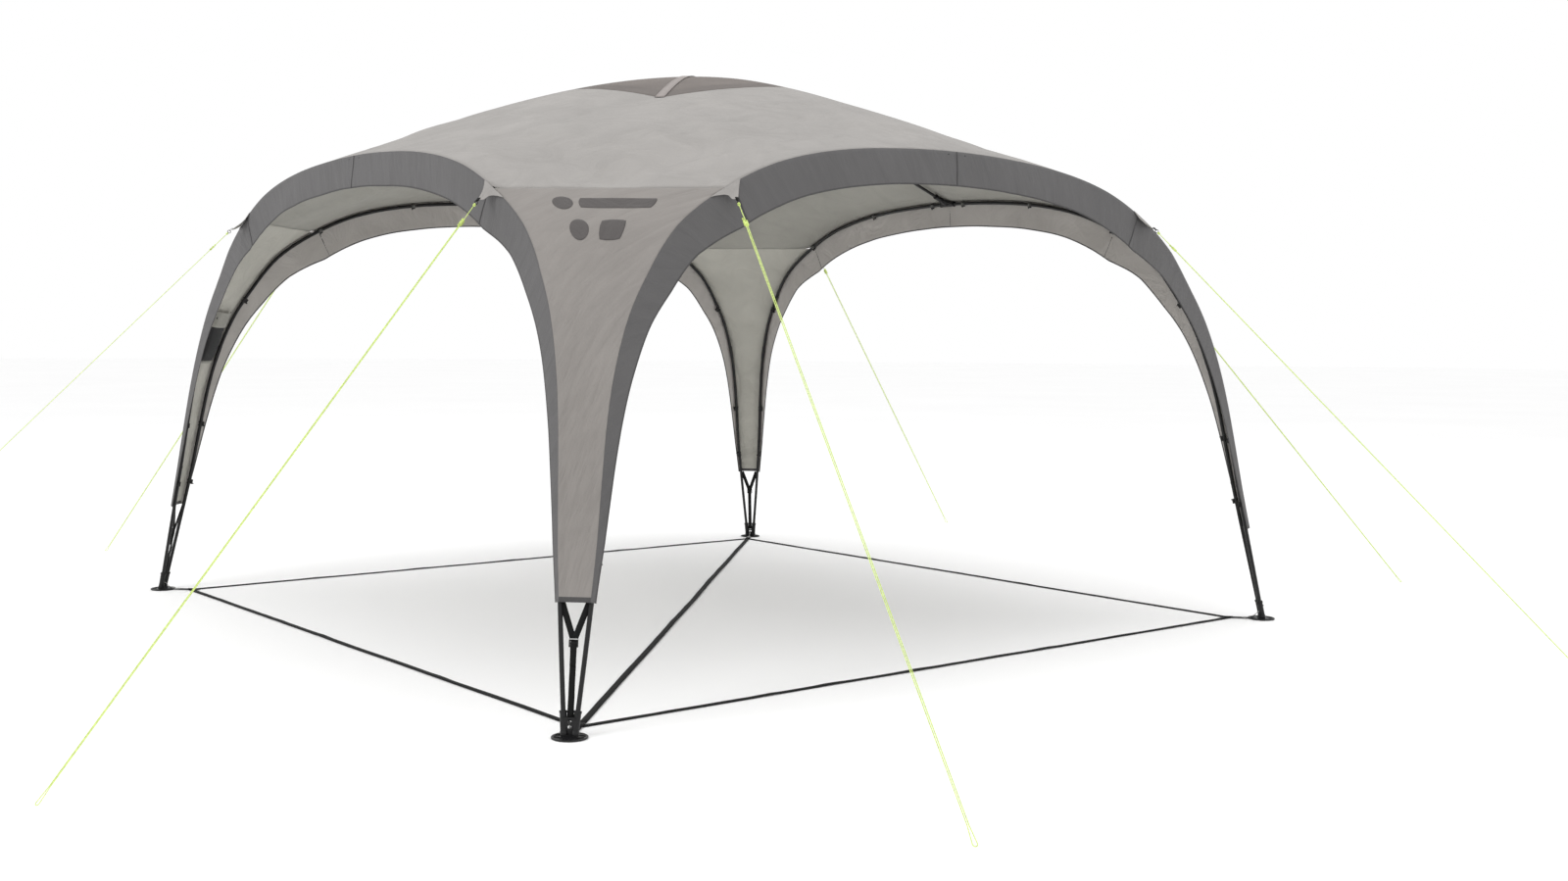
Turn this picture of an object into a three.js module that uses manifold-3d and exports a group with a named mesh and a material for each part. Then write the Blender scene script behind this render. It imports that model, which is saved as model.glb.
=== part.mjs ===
// Event shelter: four arched poles, two crossing roof poles and a fitted canopy, held down by
// eight guylines. Millimetres, +Z up, origin on the ground under the centre of the roof.
import * as THREE from 'three';
import { mergeVertices } from 'three/addons/utils/BufferGeometryUtils.js';
import Module from 'manifold-3d';

const wasm = await Module();
wasm.setup();

// ---- driving dimensions -------------------------------------------------------------------
const FOOT_HALF = 1838; // arch plane to centre, at the ground
const LEAN = 0.0937; // how far each arch leans in, per mm of height
const BOW = { depth: 26, height: 1500, power: 1.8 }; // how far the legs bow in, most at a height
const POLE_R = 8;
const SKIN = 3; // thickness of a cloth panel
const SKIN_IN = 14; // inner face of a cloth panel, from the pole's centre line
const ROOF_RISE = 467; // roof centre above the middle of an arch
const ROOF_POWER = 1.52; // how round the roof poles are
const ROOF_SLACK = 0.1; // how far the roof falls from a full dome to a straight drape
const VENT_HALF = 657;
const HEM_Z = 420;
const VALANCE_MID = 117; // valance depth over the middle of an arch
const VALANCE_SHOULDER = 140;
const VALANCE_HEM = 9;
const GUY_R = 3;
const GUY_TAB = { u: 1113, out: 1745, z: 1694 };
const GUY_PEG = { u: 1621, out: 3347, z: GUY_R };
const SLIDER_DROP = 110; // slider below the tab, along the line
const WEB = 20; // width of the tension webbing
const WEB_T = 2;
const GROUND_WEB = 25;
const GROUND_CORNER = 1725; // corner of the ground strap, inside the foot
const FOOT_R = 58;
const PEG_HOLE_OUT = 40; // peg hole, outward from the middle of the foot

// Centre line of half an arch pole in its own plane: along the side, and height.
const ARCH_HALF = [
  [0, 1931], [300, 1922], [600, 1893], [880, 1831], [1105, 1732], [1302, 1600],
  [1428, 1440], [1507, 1315], [1578, 1140], [1628, 945], [1689, 590], [1747, 310], [1808, 30],
];
const MID_Z = ARCH_HALF[0][1];
const SHOULDER = ARCH_HALF[4];
const LEG_TOP_Z = 1140; // joint between a leg tube and the arch pole

const SIDES = ['front_right', 'back_right', 'back_left', 'front_left'];
const CORNERS = ['front', 'right', 'back', 'left'];

const shelter = new THREE.Group();

// ---- materials ----------------------------------------------------------------------------
const finish = (color, roughness, metalness = 0) =>
  new THREE.MeshStandardMaterial({ color, roughness, metalness });
const roofCloth = () => finish(0xb3b0ab, 0.85);
const legCloth = () => finish(0xa39c98, 0.85);
const bandCloth = () => finish(0x6b6a68, 0.85);
const meshCloth = () => finish(0x6f6664, 0.9);
const blackPole = () => finish(0x17181a, 0.45, 0.2);
const blackWeb = () => finish(0x141414, 0.9);
const blackPlastic = () => finish(0x1c1d1f, 0.5);
const limeCord = () => finish(0xc9e26a, 0.7);
const steel = () => finish(0x8d9092, 0.35, 0.9);

// ---- small helpers ------------------------------------------------------------------------
const vec = (x, y, z) => new THREE.Vector3(x, y, z);

function addMesh(name, geometry, material, quarterTurns = 0) {
  const mesh = new THREE.Mesh(geometry, material);
  mesh.name = name;
  mesh.rotation.z = (quarterTurns * Math.PI) / 2;
  shelter.add(mesh);
  return mesh;
}

function welded(geometry) {
  const bare = geometry.clone();
  bare.deleteAttribute('normal');
  bare.deleteAttribute('uv');
  return mergeVertices(bare, 1e-4);
}

function solidOf(geometry) {
  const bare = welded(geometry);
  const mesh = new wasm.Mesh({
    numProp: 3,
    vertProperties: new Float32Array(bare.attributes.position.array),
    triVerts: new Uint32Array(bare.index.array),
  });
  return new wasm.Manifold(mesh);
}

function geometryOf(solid) {
  const mesh = solid.getMesh();
  const geometry = new THREE.BufferGeometry();
  geometry.setAttribute('position', new THREE.BufferAttribute(mesh.vertProperties, 3));
  geometry.setIndex(new THREE.BufferAttribute(mesh.triVerts, 1));
  return geometry;
}

const joined = (solids) => solids.reduce((sum, next) => sum.add(next));

// A straight bar or bore from one point to another.
function rod(from, to, radius, sides = 12) {
  const length = from.distanceTo(to);
  const geometry = new THREE.CylinderGeometry(radius, radius, length, sides);
  const turn = new THREE.Quaternion().setFromUnitVectors(
    vec(0, 1, 0), to.clone().sub(from).normalize());
  geometry.applyQuaternion(turn);
  const middle = from.clone().add(to).multiplyScalar(0.5);
  geometry.translate(middle.x, middle.y, middle.z);
  return geometry;
}

function circle(radius, sides) {
  const shape = new THREE.Shape();
  for (let i = 0; i < sides; i++) {
    const a = ((i + 0.5) * 2 * Math.PI) / sides;
    if (i === 0) shape.moveTo(radius * Math.cos(a), radius * Math.sin(a));
    else shape.lineTo(radius * Math.cos(a), radius * Math.sin(a));
  }
  shape.closePath();
  return shape;
}

function tube(curve, radius, steps, sides = 8) {
  return new THREE.ExtrudeGeometry(circle(radius, sides), {
    steps, extrudePath: curve, bevelEnabled: false,
  });
}

// A thin panel: a grid of columns by rows bent onto at(s, t, depth), with s and t from 0 to 1
// and depth from 0 on the inner face to 1 on the outer face.
function panel(columns, rows, at) {
  const geometry = new THREE.BoxGeometry(1, 1, 1, columns, rows, 1);
  const position = geometry.attributes.position;
  for (let i = 0; i < position.count; i++) {
    const p = at(position.getX(i) + 0.5, position.getY(i) + 0.5, position.getZ(i) + 0.5);
    position.setXYZ(i, p.x, p.y, p.z);
  }
  return outward(welded(geometry));
}

// Turns the faces round when the grid's bend has left them pointing in.
function outward(geometry) {
  const p = geometry.attributes.position;
  const index = geometry.index;
  const corner = (k) => vec().fromBufferAttribute(p, index.getX(k));
  let volume = 0;
  for (let k = 0; k < index.count; k += 3) {
    volume += corner(k).dot(corner(k + 1).cross(corner(k + 2)));
  }
  if (volume < 0) {
    for (let k = 0; k < index.count; k += 3) {
      const first = index.getX(k);
      index.setX(k, index.getX(k + 1));
      index.setX(k + 1, first);
    }
  }
  return geometry;
}

// ---- the arch -----------------------------------------------------------------------------
// Side 0 faces -Y: `u` runs along the side, `out` is the distance from its leaning surface.
function bowAt(z) {
  if (z < BOW.height) return BOW.depth * (Math.max(z, 0) / BOW.height) ** BOW.power;
  const over = Math.min((z - BOW.height) / (MID_Z - BOW.height), 1);
  return (BOW.depth * (1 + Math.cos(Math.PI * over))) / 2;
}
const planeAt = (z) => FOOT_HALF - LEAN * z - bowAt(z);
const onSide = (u, z, out = 0) => vec(u, -(planeAt(z) + out), z);

const archPoints = [
  ...ARCH_HALF.slice(1).reverse().map(([u, z]) => [-u, z]),
  ...ARCH_HALF,
];
const archCurve = new THREE.CatmullRomCurve3(archPoints.map(([u, z]) => vec(u, 0, z)));
const ARCH_SAMPLES = 1200;
const archSpaced = archCurve.getSpacedPoints(ARCH_SAMPLES);

// Share of the arch's length, from its left foot, at which the right half passes height z.
function shareAtHeight(z) {
  let i = ARCH_SAMPLES;
  while (archSpaced[i].z < z) i -= 1;
  return i / ARCH_SAMPLES;
}
const HEM_SHARE = shareAtHeight(HEM_Z);
const LEG_SHARE = shareAtHeight(LEG_TOP_Z);
const SHOULDER_SHARE = shareAtHeight(SHOULDER[1]);

// Point and outward direction of the pole in the arch plane, at a share of its length.
function archAt(share) {
  const point = archCurve.getPointAt(share);
  const along = archCurve.getTangentAt(share);
  return { u: point.x, z: point.z, nu: -along.z, nz: along.x };
}

function archPath(from, to, steps) {
  const points = [];
  for (let i = 0; i <= steps; i++) {
    const a = archAt(from + ((to - from) * i) / steps);
    points.push(onSide(a.u, a.z));
  }
  return new THREE.CatmullRomCurve3(points);
}

const JOINT_GAP = 0.0001; // share of the arch left between a leg tube and the arch pole

SIDES.forEach((side, k) => {
  const arch = archPath(1 - LEG_SHARE + JOINT_GAP, LEG_SHARE - JOINT_GAP, 28);
  addMesh(`arch_pole_${side}`, tube(arch, POLE_R, 28), blackPole(), k);
  const ends = [['a', 0, 1 - LEG_SHARE - JOINT_GAP], ['b', LEG_SHARE + JOINT_GAP, 1]];
  for (const [end, from, to] of ends) {
    addMesh(`leg_tube_${side}_${end}`, tube(archPath(from, to, 6), POLE_R, 6), blackPole(), k);
  }
});

// ---- feet ---------------------------------------------------------------------------------
// Drawn at the front corner, where the legs of side 0 and side 3 meet.
const legEnd = archAt(0);
const legUp = archAt(0.03);
const mirrorDiagonal = (p) => vec(p.y, p.x, p.z);
const SOCKET = { below: 22, above: 52, wall: 3.5, play: 0.9 }; // along a leg, from its end
const WEB_PLATE = { thick: 8, wide: 40, top: 64 }; // plate between a foot's two sockets
const WEB_SLOTS = [{ z: 50, high: 12 }, { z: 32, high: 9 }];
const WEB_SLOT_WIDE = 13;

function footSocket(mirror) {
  const bottom = onSide(legEnd.u, legEnd.z);
  const up = onSide(legUp.u, legUp.z).sub(bottom).normalize();
  const place = (d) => {
    const p = bottom.clone().addScaledVector(up, d);
    return mirror ? mirrorDiagonal(p) : p;
  };
  return {
    body: solidOf(rod(place(-SOCKET.below), place(SOCKET.above), POLE_R + SOCKET.wall, 10)),
    bore: solidOf(rod(place(-0.6), place(SOCKET.above + 8), POLE_R + SOCKET.play, 10)),
  };
}

function footGeometry() {
  const centre = onSide(legEnd.u, 0).add(mirrorDiagonal(onSide(legEnd.u, 0))).multiplyScalar(0.5);
  const place = (geometry, x, y, z) => {
    geometry.rotateZ(Math.PI / 4);
    geometry.translate(centre.x, centre.y, 0);
    const inward = vec(Math.SQRT1_2, Math.SQRT1_2, 0);
    const across = vec(Math.SQRT1_2, -Math.SQRT1_2, 0);
    const shift = inward.multiplyScalar(x).add(across.multiplyScalar(y));
    geometry.translate(shift.x, shift.y, z);
    return solidOf(geometry);
  };
  const upright = (radius, height) => {
    const cylinder = new THREE.CylinderGeometry(radius, radius, height, 8);
    return cylinder.rotateX(Math.PI / 2);
  };
  const disc = new THREE.CylinderGeometry(FOOT_R, FOOT_R, 3, 24).rotateX(Math.PI / 2);
  const sockets = [footSocket(false), footSocket(true)];
  const plate = new THREE.BoxGeometry(WEB_PLATE.thick, WEB_PLATE.wide, WEB_PLATE.top - 2);
  const web = place(plate, 0, 0, WEB_PLATE.top / 2 + 1);
  const slots = [
    ...WEB_SLOTS.map(({ z, high }) => (
      place(new THREE.BoxGeometry(30, WEB_SLOT_WIDE, high), 0, 0, z))),
    place(upright(4, 20), -PEG_HOLE_OUT, 0, 0),
    place(new THREE.BoxGeometry(400, 400, 100), 0, 0, -50),
  ];
  let solid = joined([place(disc, 0, 0, 1.5), web, ...sockets.map((s) => s.body)]);
  for (const cut of [...slots, ...sockets.map((s) => s.bore)]) solid = solid.subtract(cut);
  return geometryOf(solid);
}

CORNERS.forEach((corner, k) => {
  addMesh(`foot_${corner}`, footGeometry(), blackPlastic(), k);
});

// ---- roof poles, tees and hub ---------------------------------------------------------------
const ROOF_BASE = planeAt(MID_Z); // tee to centre, on plan
const roofPoleZ = (t, drop) => MID_Z + (ROOF_RISE - drop) * (1 - (t / ROOF_BASE) ** ROOF_POWER);
const TEE_REACH = 34; // how far a roof pole stops short of the arch pole
const CROSS_DROP = 24; // the lower roof pole passes this far under the upper one
const TEE = { half: 48, radius: 12, branch: 62, plate: 10 };
const HUB = { radius: 25, height: 44, arm: 27, armRadius: 12.4, bore: POLE_R + 2.8 };

function roofPole(drop) {
  const points = [];
  const steps = 24;
  const reach = ROOF_BASE - TEE_REACH;
  for (let i = 0; i <= steps; i++) {
    const y = -reach + (2 * reach * i) / steps;
    points.push(vec(0, y, roofPoleZ(Math.abs(y), drop)));
  }
  return tube(new THREE.CatmullRomCurve3(points), POLE_R, 30);
}

function teeGeometry(drop) {
  const pole = (y) => vec(0, -y, roofPoleZ(y, drop));
  const middle = onSide(0, MID_Z);
  const inner = pole(ROOF_BASE - 105);
  const stub = pole(ROOF_BASE - TEE_REACH);
  const along = inner.clone().sub(stub).normalize();
  const bodyEnd = stub.clone().addScaledVector(along, TEE.branch);
  const boreStart = stub.clone().addScaledVector(along, -1.2);
  const boreEnd = stub.clone().addScaledVector(along, TEE.branch + 28);
  const across = (half) => [vec(-half, middle.y, middle.z), vec(half, middle.y, middle.z)];
  const sleeve = solidOf(rod(...across(TEE.half), TEE.radius, 14));
  const branch = solidOf(rod(middle, bodyEnd, TEE.radius, 14));
  const gusset = new THREE.ExtrudeGeometry(
    new THREE.Shape([
      new THREE.Vector2(-TEE.half + 4, 0), new THREE.Vector2(TEE.half - 4, 0),
      new THREE.Vector2(POLE_R, TEE.branch), new THREE.Vector2(-POLE_R, TEE.branch),
    ]),
    { depth: TEE.plate, bevelEnabled: false });
  gusset.translate(0, 0, -TEE.plate / 2);
  gusset.rotateX(Math.atan2(along.z, along.y));
  gusset.translate(middle.x, middle.y, middle.z);
  let solid = joined([sleeve, branch, solidOf(gusset)]);
  const bore = rod(...across(TEE.half + 12), POLE_R + 1.1, 14);
  solid = solid.subtract(solidOf(bore));
  solid = solid.subtract(solidOf(rod(boreStart, boreEnd, POLE_R + 0.9, 14)));
  return geometryOf(solid);
}

addMesh('roof_pole_upper', roofPole(0), blackPole(), 0);
addMesh('roof_pole_lower', roofPole(CROSS_DROP), blackPole(), 1);
SIDES.forEach((side, k) => {
  addMesh(`tee_${side}`, teeGeometry(k % 2 === 0 ? 0 : CROSS_DROP), blackPlastic(), k);
});

function hubGeometry() {
  const top = MID_Z + ROOF_RISE;
  const drum = new THREE.CylinderGeometry(HUB.radius, HUB.radius, HUB.height, 12);
  const body = drum.rotateX(Math.PI / 2);
  body.translate(0, 0, top - CROSS_DROP / 2 - 3);
  const upper = (half, r) => solidOf(rod(vec(0, -half, top), vec(0, half, top), r, 10));
  const low = top - CROSS_DROP;
  const lower = (half, r) => solidOf(rod(vec(-half, 0, low), vec(half, 0, low), r, 10));
  let solid = joined([
    solidOf(body), upper(HUB.arm, HUB.armRadius), lower(HUB.arm, HUB.armRadius)]);
  solid = solid.subtract(upper(2 * HUB.arm, HUB.bore));
  solid = solid.subtract(lower(2 * HUB.arm, HUB.bore));
  return geometryOf(solid);
}
addMesh('centre_hub', hubGeometry(), blackPlastic());

// ---- canopy roof and vent -------------------------------------------------------------------
const SHOULDER_DROP = MID_Z - SHOULDER[1];
const EDGE_POWER = 2.9; // how flat the top of an arch is
const edgeZ = (u) => -SHOULDER_DROP * (Math.min(Math.abs(u) / SHOULDER[0], 1.2) ** EDGE_POWER);
const ridgeZ = (t) => -ROOF_RISE * ((Math.abs(t) / ROOF_BASE) ** ROOF_POWER);

// Height of the pole net's skin over a point on plan: a dome between the poles, let down
// towards straight lines drawn from pole to pole.
function roofZ(x, y) {
  const ax = Math.abs(x) / ROOF_BASE;
  const ay = Math.abs(y) / ROOF_BASE;
  const edgeX = edgeZ(x) - ridgeZ(x);
  const edgeY = edgeZ(y) - ridgeZ(y);
  const dome = ridgeZ(x) + ridgeZ(y) + edgeX * ay * ay + edgeY * ax * ax;
  const reach = Math.abs(x) + Math.abs(y);
  const drape = reach <= ROOF_BASE ? ridgeZ(reach) : -ROOF_RISE + edgeZ(reach - ROOF_BASE);
  return MID_Z + ROOF_RISE + (1 - ROOF_SLACK) * dome + ROOF_SLACK * drape;
}

// Outline of the roof: over each arch from shoulder to shoulder, then across the corner.
const ARCH_STEPS = 16;
const SEAM_STEPS = 2;
const OUTLINE_STEPS = 4 * (ARCH_STEPS + SEAM_STEPS);
const VENT_CORNER = 8; // how much the vent's corner is cut off

function quarterTurn(p, k) {
  const out = p.clone();
  return out.applyAxisAngle(vec(0, 0, 1), (k * Math.PI) / 2);
}

// Lower edge of the roof cloth where it turns over the arch pole.
function roofEdge(share) {
  const a = archAt(share);
  return onSide(a.u + a.nu * SKIN_IN, a.z + a.nz * SKIN_IN, SKIN_IN + SKIN);
}

function roofOutline(index, innerHalf) {
  const side = Math.floor(index / (ARCH_STEPS + SEAM_STEPS)) % 4;
  const step = index % (ARCH_STEPS + SEAM_STEPS);
  const over = Math.min(step / ARCH_STEPS, 1);
  const outer = quarterTurn(roofEdge(1 - SHOULDER_SHARE + (2 * SHOULDER_SHARE - 1) * over), side);
  const innerU = (innerHalf - VENT_CORNER) * (2 * over - 1);
  const inner = quarterTurn(vec(innerU, -innerHalf, 0), side);
  if (step > ARCH_STEPS) {
    const share = (step - ARCH_STEPS) / SEAM_STEPS;
    outer.lerp(quarterTurn(roofEdge(1 - SHOULDER_SHARE), side + 1), share);
    inner.lerp(quarterTurn(vec(-(innerHalf - VENT_CORNER), -innerHalf, 0), side + 1), share);
  }
  return { outer, inner };
}

function roofPanel() {
  const rings = 5;
  const profile = [];
  for (let i = 0; i <= rings; i++) profile.push(new THREE.Vector2(1 + i / rings, 0));
  for (let i = rings; i >= 0; i--) profile.push(new THREE.Vector2(1 + i / rings, 1));
  profile.push(profile[0].clone());
  const geometry = new THREE.LatheGeometry(profile, OUTLINE_STEPS);
  const position = geometry.attributes.position;
  const perStep = profile.length;
  // The upper skin's squares are split along the same diagonal as the lower skin's.
  const index = geometry.index;
  for (let i = 0; i < index.count; i += 6) {
    const row = (i / 6) % (perStep - 1);
    if (row <= rings || row > 2 * rings) continue;
    const [a, b, d, c] = [0, 1, 2, 3].map((n) => index.getX(i + n));
    [a, b, c, c, d, a].forEach((corner, n) => index.setX(i + n, corner));
  }
  for (let i = 0; i < position.count; i++) {
    const step = Math.floor(i / perStep) % OUTLINE_STEPS;
    const spot = profile[i % perStep];
    const share = spot.x - 1;
    const { outer, inner } = roofOutline(step, VENT_HALF);
    const x = inner.x + (outer.x - inner.x) * share;
    const y = inner.y + (outer.y - inner.y) * share;
    const miss = outer.z - roofZ(outer.x, outer.y) - SKIN_IN;
    const z = roofZ(x, y) + miss * share ** 3 + SKIN_IN + SKIN * spot.y;
    position.setXYZ(i, x, y, z);
  }
  return outward(welded(geometry));
}
addMesh('canopy_roof', roofPanel(), roofCloth());

const ventHalf = VENT_HALF - VENT_CORNER - 2;
addMesh('roof_vent_mesh', panel(8, 8, (s, t, depth) => {
  const x = ventHalf * (2 * s - 1);
  const y = ventHalf * (2 * t - 1);
  return vec(x, y, roofZ(x, y) + SKIN_IN + 1 + depth);
}), meshCloth());

// ---- canopy legs and valances -----------------------------------------------------------------
const SEAM_GAP = 0.0008; // share of the arch between the roof and a leg panel
const LEG_INSET = 1; // leg panel's edge, from the pole's centre line
const ACROSS = vec(Math.SQRT1_2, -Math.SQRT1_2, 0); // along the front corner's panel

// Middle of the front corner's panel at a share of the arch, and the way that it faces.
function cornerAt(share) {
  const pole = archCurve.getPointAt(share);
  const along = archCurve.getTangentAt(share);
  const one = onSide(pole.x, pole.z);
  const width = one.distanceTo(mirrorDiagonal(one));
  const middle = one.clone().add(mirrorDiagonal(one)).multiplyScalar(0.5);
  const lean = (planeAt(pole.z - 1) - planeAt(pole.z + 1)) / 2;
  const slope = vec(along.x, lean * along.z, along.z);
  slope.addScaledVector(ACROSS, -slope.dot(ACROSS)).normalize();
  return { middle, width, facing: slope.cross(ACROSS).normalize().negate() };
}

function legPanelPoint(s, t, depth) {
  const share = 1 - HEM_SHARE + (HEM_SHARE - SHOULDER_SHARE - SEAM_GAP) * t;
  const { middle, width, facing } = cornerAt(share);
  const point = middle.addScaledVector(ACROSS, (width - 2 * LEG_INSET) * (0.5 - s));
  return point.addScaledVector(facing, SKIN_IN + SKIN * depth);
}

CORNERS.forEach((corner, k) => {
  addMesh(`canopy_leg_${corner}`, panel(2, 12, legPanelPoint), legCloth(), k);
});

// Depth of the valance at a share of the arch: widest at the shoulders, narrow at the hem.
function valanceDepth(share) {
  const fromMiddle = Math.abs(2 * share - 1);
  const shoulder = 2 * SHOULDER_SHARE - 1;
  const hem = 2 * HEM_SHARE - 1;
  if (fromMiddle < shoulder) {
    return THREE.MathUtils.lerp(VALANCE_MID, VALANCE_SHOULDER, (fromMiddle / shoulder) ** 2);
  }
  const down = (fromMiddle - shoulder) / (hem - shoulder);
  return VALANCE_HEM + (VALANCE_SHOULDER - VALANCE_HEM) * (1 - down) ** 1.3;
}

const VALANCE_TOP = 8; // valance's upper edge, outside the pole's centre line
function valancePoint(s, t, depth) {
  const share = 1 - HEM_SHARE + (2 * HEM_SHARE - 1) * s;
  const a = archAt(share);
  const inward = -VALANCE_TOP + (valanceDepth(share) + VALANCE_TOP) * t;
  return onSide(a.u - a.nu * inward, a.z - a.nz * inward, SKIN_IN + SKIN * depth);
}

SIDES.forEach((side, k) => {
  addMesh(`valance_${side}`, panel(32, 1, valancePoint), bandCloth(), k);
});

// Small storage pocket sewn inside the left leg panel.
const POCKET = { z: 1215, height: 230, width: 150, depth: 14, gap: 3 };
function pocketPoint(s, t, depth) {
  const { middle, facing } = cornerAt(1 - shareAtHeight(POCKET.z + POCKET.height * (t - 0.5)));
  const bulge = POCKET.depth * (1 - (2 * s - 1) ** 4 * 0.7);
  const point = middle.addScaledVector(ACROSS, POCKET.width * (s - 0.5));
  return point.addScaledVector(facing, SKIN_IN - POCKET.gap - bulge * (1 - depth));
}
addMesh('storage_pocket', panel(6, 6, pocketPoint), meshCloth(), 3);

// ---- tension straps and buckles ---------------------------------------------------------------
// Drawn flat with x across and y up the leg, then leaned into the front corner.
const STRAP_BOTTOM_Z = 62;
const STRAP_TOP_Z = HEM_Z - 8;
const BUCKLE_Z = 285;
const strapFoot = cornerAt(1 - shareAtHeight(STRAP_BOTTOM_Z)).middle;
const strapHead = cornerAt(1 - shareAtHeight(STRAP_TOP_Z)).middle;
const strapUp = strapHead.clone().sub(strapFoot).normalize();
const strapLength = strapHead.distanceTo(strapFoot);
const strapOut = ACROSS.clone().cross(strapUp);
const strapBasis = new THREE.Matrix4().makeBasis(ACROSS, strapUp, strapOut);
strapBasis.setPosition(strapFoot);
const buckleY = ((BUCKLE_Z - STRAP_BOTTOM_Z) / (STRAP_TOP_Z - STRAP_BOTTOM_Z)) * strapLength;

function strapGeometry() {
  const w = WEB / 2;
  const spread = 28; // each arm's middle, from the strap's middle, at the hem
  const fork = buckleY + 8;
  const outline = [
    [-w, 0], [w, 0], [w, fork], [spread + w, strapLength], [spread - w, strapLength],
    [0, fork + 26], [-spread + w, strapLength], [-spread - w, strapLength], [-w, fork],
  ];
  const shape = new THREE.Shape(outline.map(([x, y]) => new THREE.Vector2(x, y)));
  const geometry = new THREE.ExtrudeGeometry(shape, { depth: WEB_T, bevelEnabled: false });
  return geometry.translate(0, 0, -WEB_T / 2).applyMatrix4(strapBasis);
}

function buckleGeometry() {
  const frame = new THREE.Shape([
    new THREE.Vector2(-15, -14), new THREE.Vector2(15, -14),
    new THREE.Vector2(15, 14), new THREE.Vector2(-15, 14),
  ]);
  for (const y of [-8, 1]) {
    frame.holes.push(new THREE.Path([
      new THREE.Vector2(-11, y), new THREE.Vector2(-11, y + 5),
      new THREE.Vector2(11, y + 5), new THREE.Vector2(11, y),
    ]));
  }
  const geometry = new THREE.ExtrudeGeometry(frame, { depth: 4, bevelEnabled: false });
  return geometry.translate(0, buckleY, WEB_T / 2 + 0.6).applyMatrix4(strapBasis);
}

CORNERS.forEach((corner, k) => {
  addMesh(`tension_strap_${corner}`, strapGeometry(), blackWeb(), k);
  addMesh(`strap_buckle_${corner}`, buckleGeometry(), blackPlastic(), k);
});

// ---- ground straps ----------------------------------------------------------------------------
function groundRing() {
  const outer = GROUND_CORNER + GROUND_WEB / 2;
  const inner = GROUND_CORNER - GROUND_WEB / 2;
  const square = (h) => [[-h, -h], [h, -h], [h, h], [-h, h]].map(([x, y]) => new THREE.Vector2(x, y));
  const shape = new THREE.Shape(square(outer));
  shape.holes.push(new THREE.Path(square(inner)));
  return new THREE.ExtrudeGeometry(shape, { depth: WEB_T, bevelEnabled: false });
}
addMesh('ground_strap_ring', groundRing(), blackWeb());

const diagonalLength = 2 * (GROUND_CORNER * Math.SQRT2 - GROUND_WEB * 1.6);
const diagonalStrap = new THREE.BoxGeometry(diagonalLength, GROUND_WEB, WEB_T);
diagonalStrap.translate(0, 0, WEB_T / 2).rotateZ(Math.PI / 4);
addMesh('ground_strap_diagonal', diagonalStrap, blackWeb());

// ---- guylines and their sliders ---------------------------------------------------------------
function guyEnds(sign) {
  return {
    tab: vec(sign * GUY_TAB.u, -GUY_TAB.out, GUY_TAB.z),
    peg: vec(sign * GUY_PEG.u, -GUY_PEG.out, GUY_PEG.z),
  };
}

function sliderGeometry(sign) {
  const { tab, peg } = guyEnds(sign);
  const down = peg.clone().sub(tab).normalize();
  const across = vec(0, 0, 1).cross(down).normalize();
  const up = down.clone().cross(across);
  const shape = new THREE.Shape([
    new THREE.Vector2(-11, -6), new THREE.Vector2(11, -6),
    new THREE.Vector2(11, 6), new THREE.Vector2(-11, 6),
  ]);
  shape.holes.push(circle(GUY_R + 0.6, 8));
  const geometry = new THREE.ExtrudeGeometry(shape, { depth: 26, bevelEnabled: false });
  geometry.translate(0, 0, SLIDER_DROP - 13);
  geometry.applyMatrix4(new THREE.Matrix4().makeBasis(across, up, down).setPosition(tab));
  return geometry;
}

SIDES.forEach((side, k) => {
  for (const [end, sign] of [['a', -1], ['b', 1]]) {
    const { tab, peg } = guyEnds(sign);
    const line = tube(new THREE.LineCurve3(tab, peg), GUY_R, 1, 8);
    addMesh(`guyline_${side}_${end}`, line, limeCord(), k);
    addMesh(`guy_slider_${side}_${end}`, sliderGeometry(sign), blackPlastic(), k);
  }
});

export default shelter;
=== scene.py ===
"""Four-leg event shelter: cloth, poles, webbing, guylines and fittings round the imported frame.

Run as a script. The shelter stands on z = 0 with the middle of its roof over the origin, and its
front leg towards -X -Y. All lengths are in metres.
"""

import math

import bmesh
import bpy
from mathutils import Matrix, Vector, noise


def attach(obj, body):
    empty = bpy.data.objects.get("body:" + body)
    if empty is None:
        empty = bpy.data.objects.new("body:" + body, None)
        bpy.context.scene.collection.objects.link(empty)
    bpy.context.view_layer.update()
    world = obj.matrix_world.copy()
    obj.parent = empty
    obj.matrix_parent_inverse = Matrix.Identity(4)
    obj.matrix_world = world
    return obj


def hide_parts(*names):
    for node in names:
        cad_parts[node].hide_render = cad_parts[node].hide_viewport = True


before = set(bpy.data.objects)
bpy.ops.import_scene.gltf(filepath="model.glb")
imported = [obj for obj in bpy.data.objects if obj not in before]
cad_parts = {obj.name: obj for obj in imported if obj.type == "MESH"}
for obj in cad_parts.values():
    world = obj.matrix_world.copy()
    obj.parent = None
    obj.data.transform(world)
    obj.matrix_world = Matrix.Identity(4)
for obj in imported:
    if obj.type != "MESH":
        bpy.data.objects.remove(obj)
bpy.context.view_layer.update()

bl_info = {
    "name": "Event shelter",
    "version": (1, 0, 0),
    "blender": (4, 5, 0),
    "location": "3D View > Sidebar > Shelter",
    "description": "Builds a square event shelter with a domed canopy, arched poles and guylines",
    "category": "Object",
}

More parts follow.
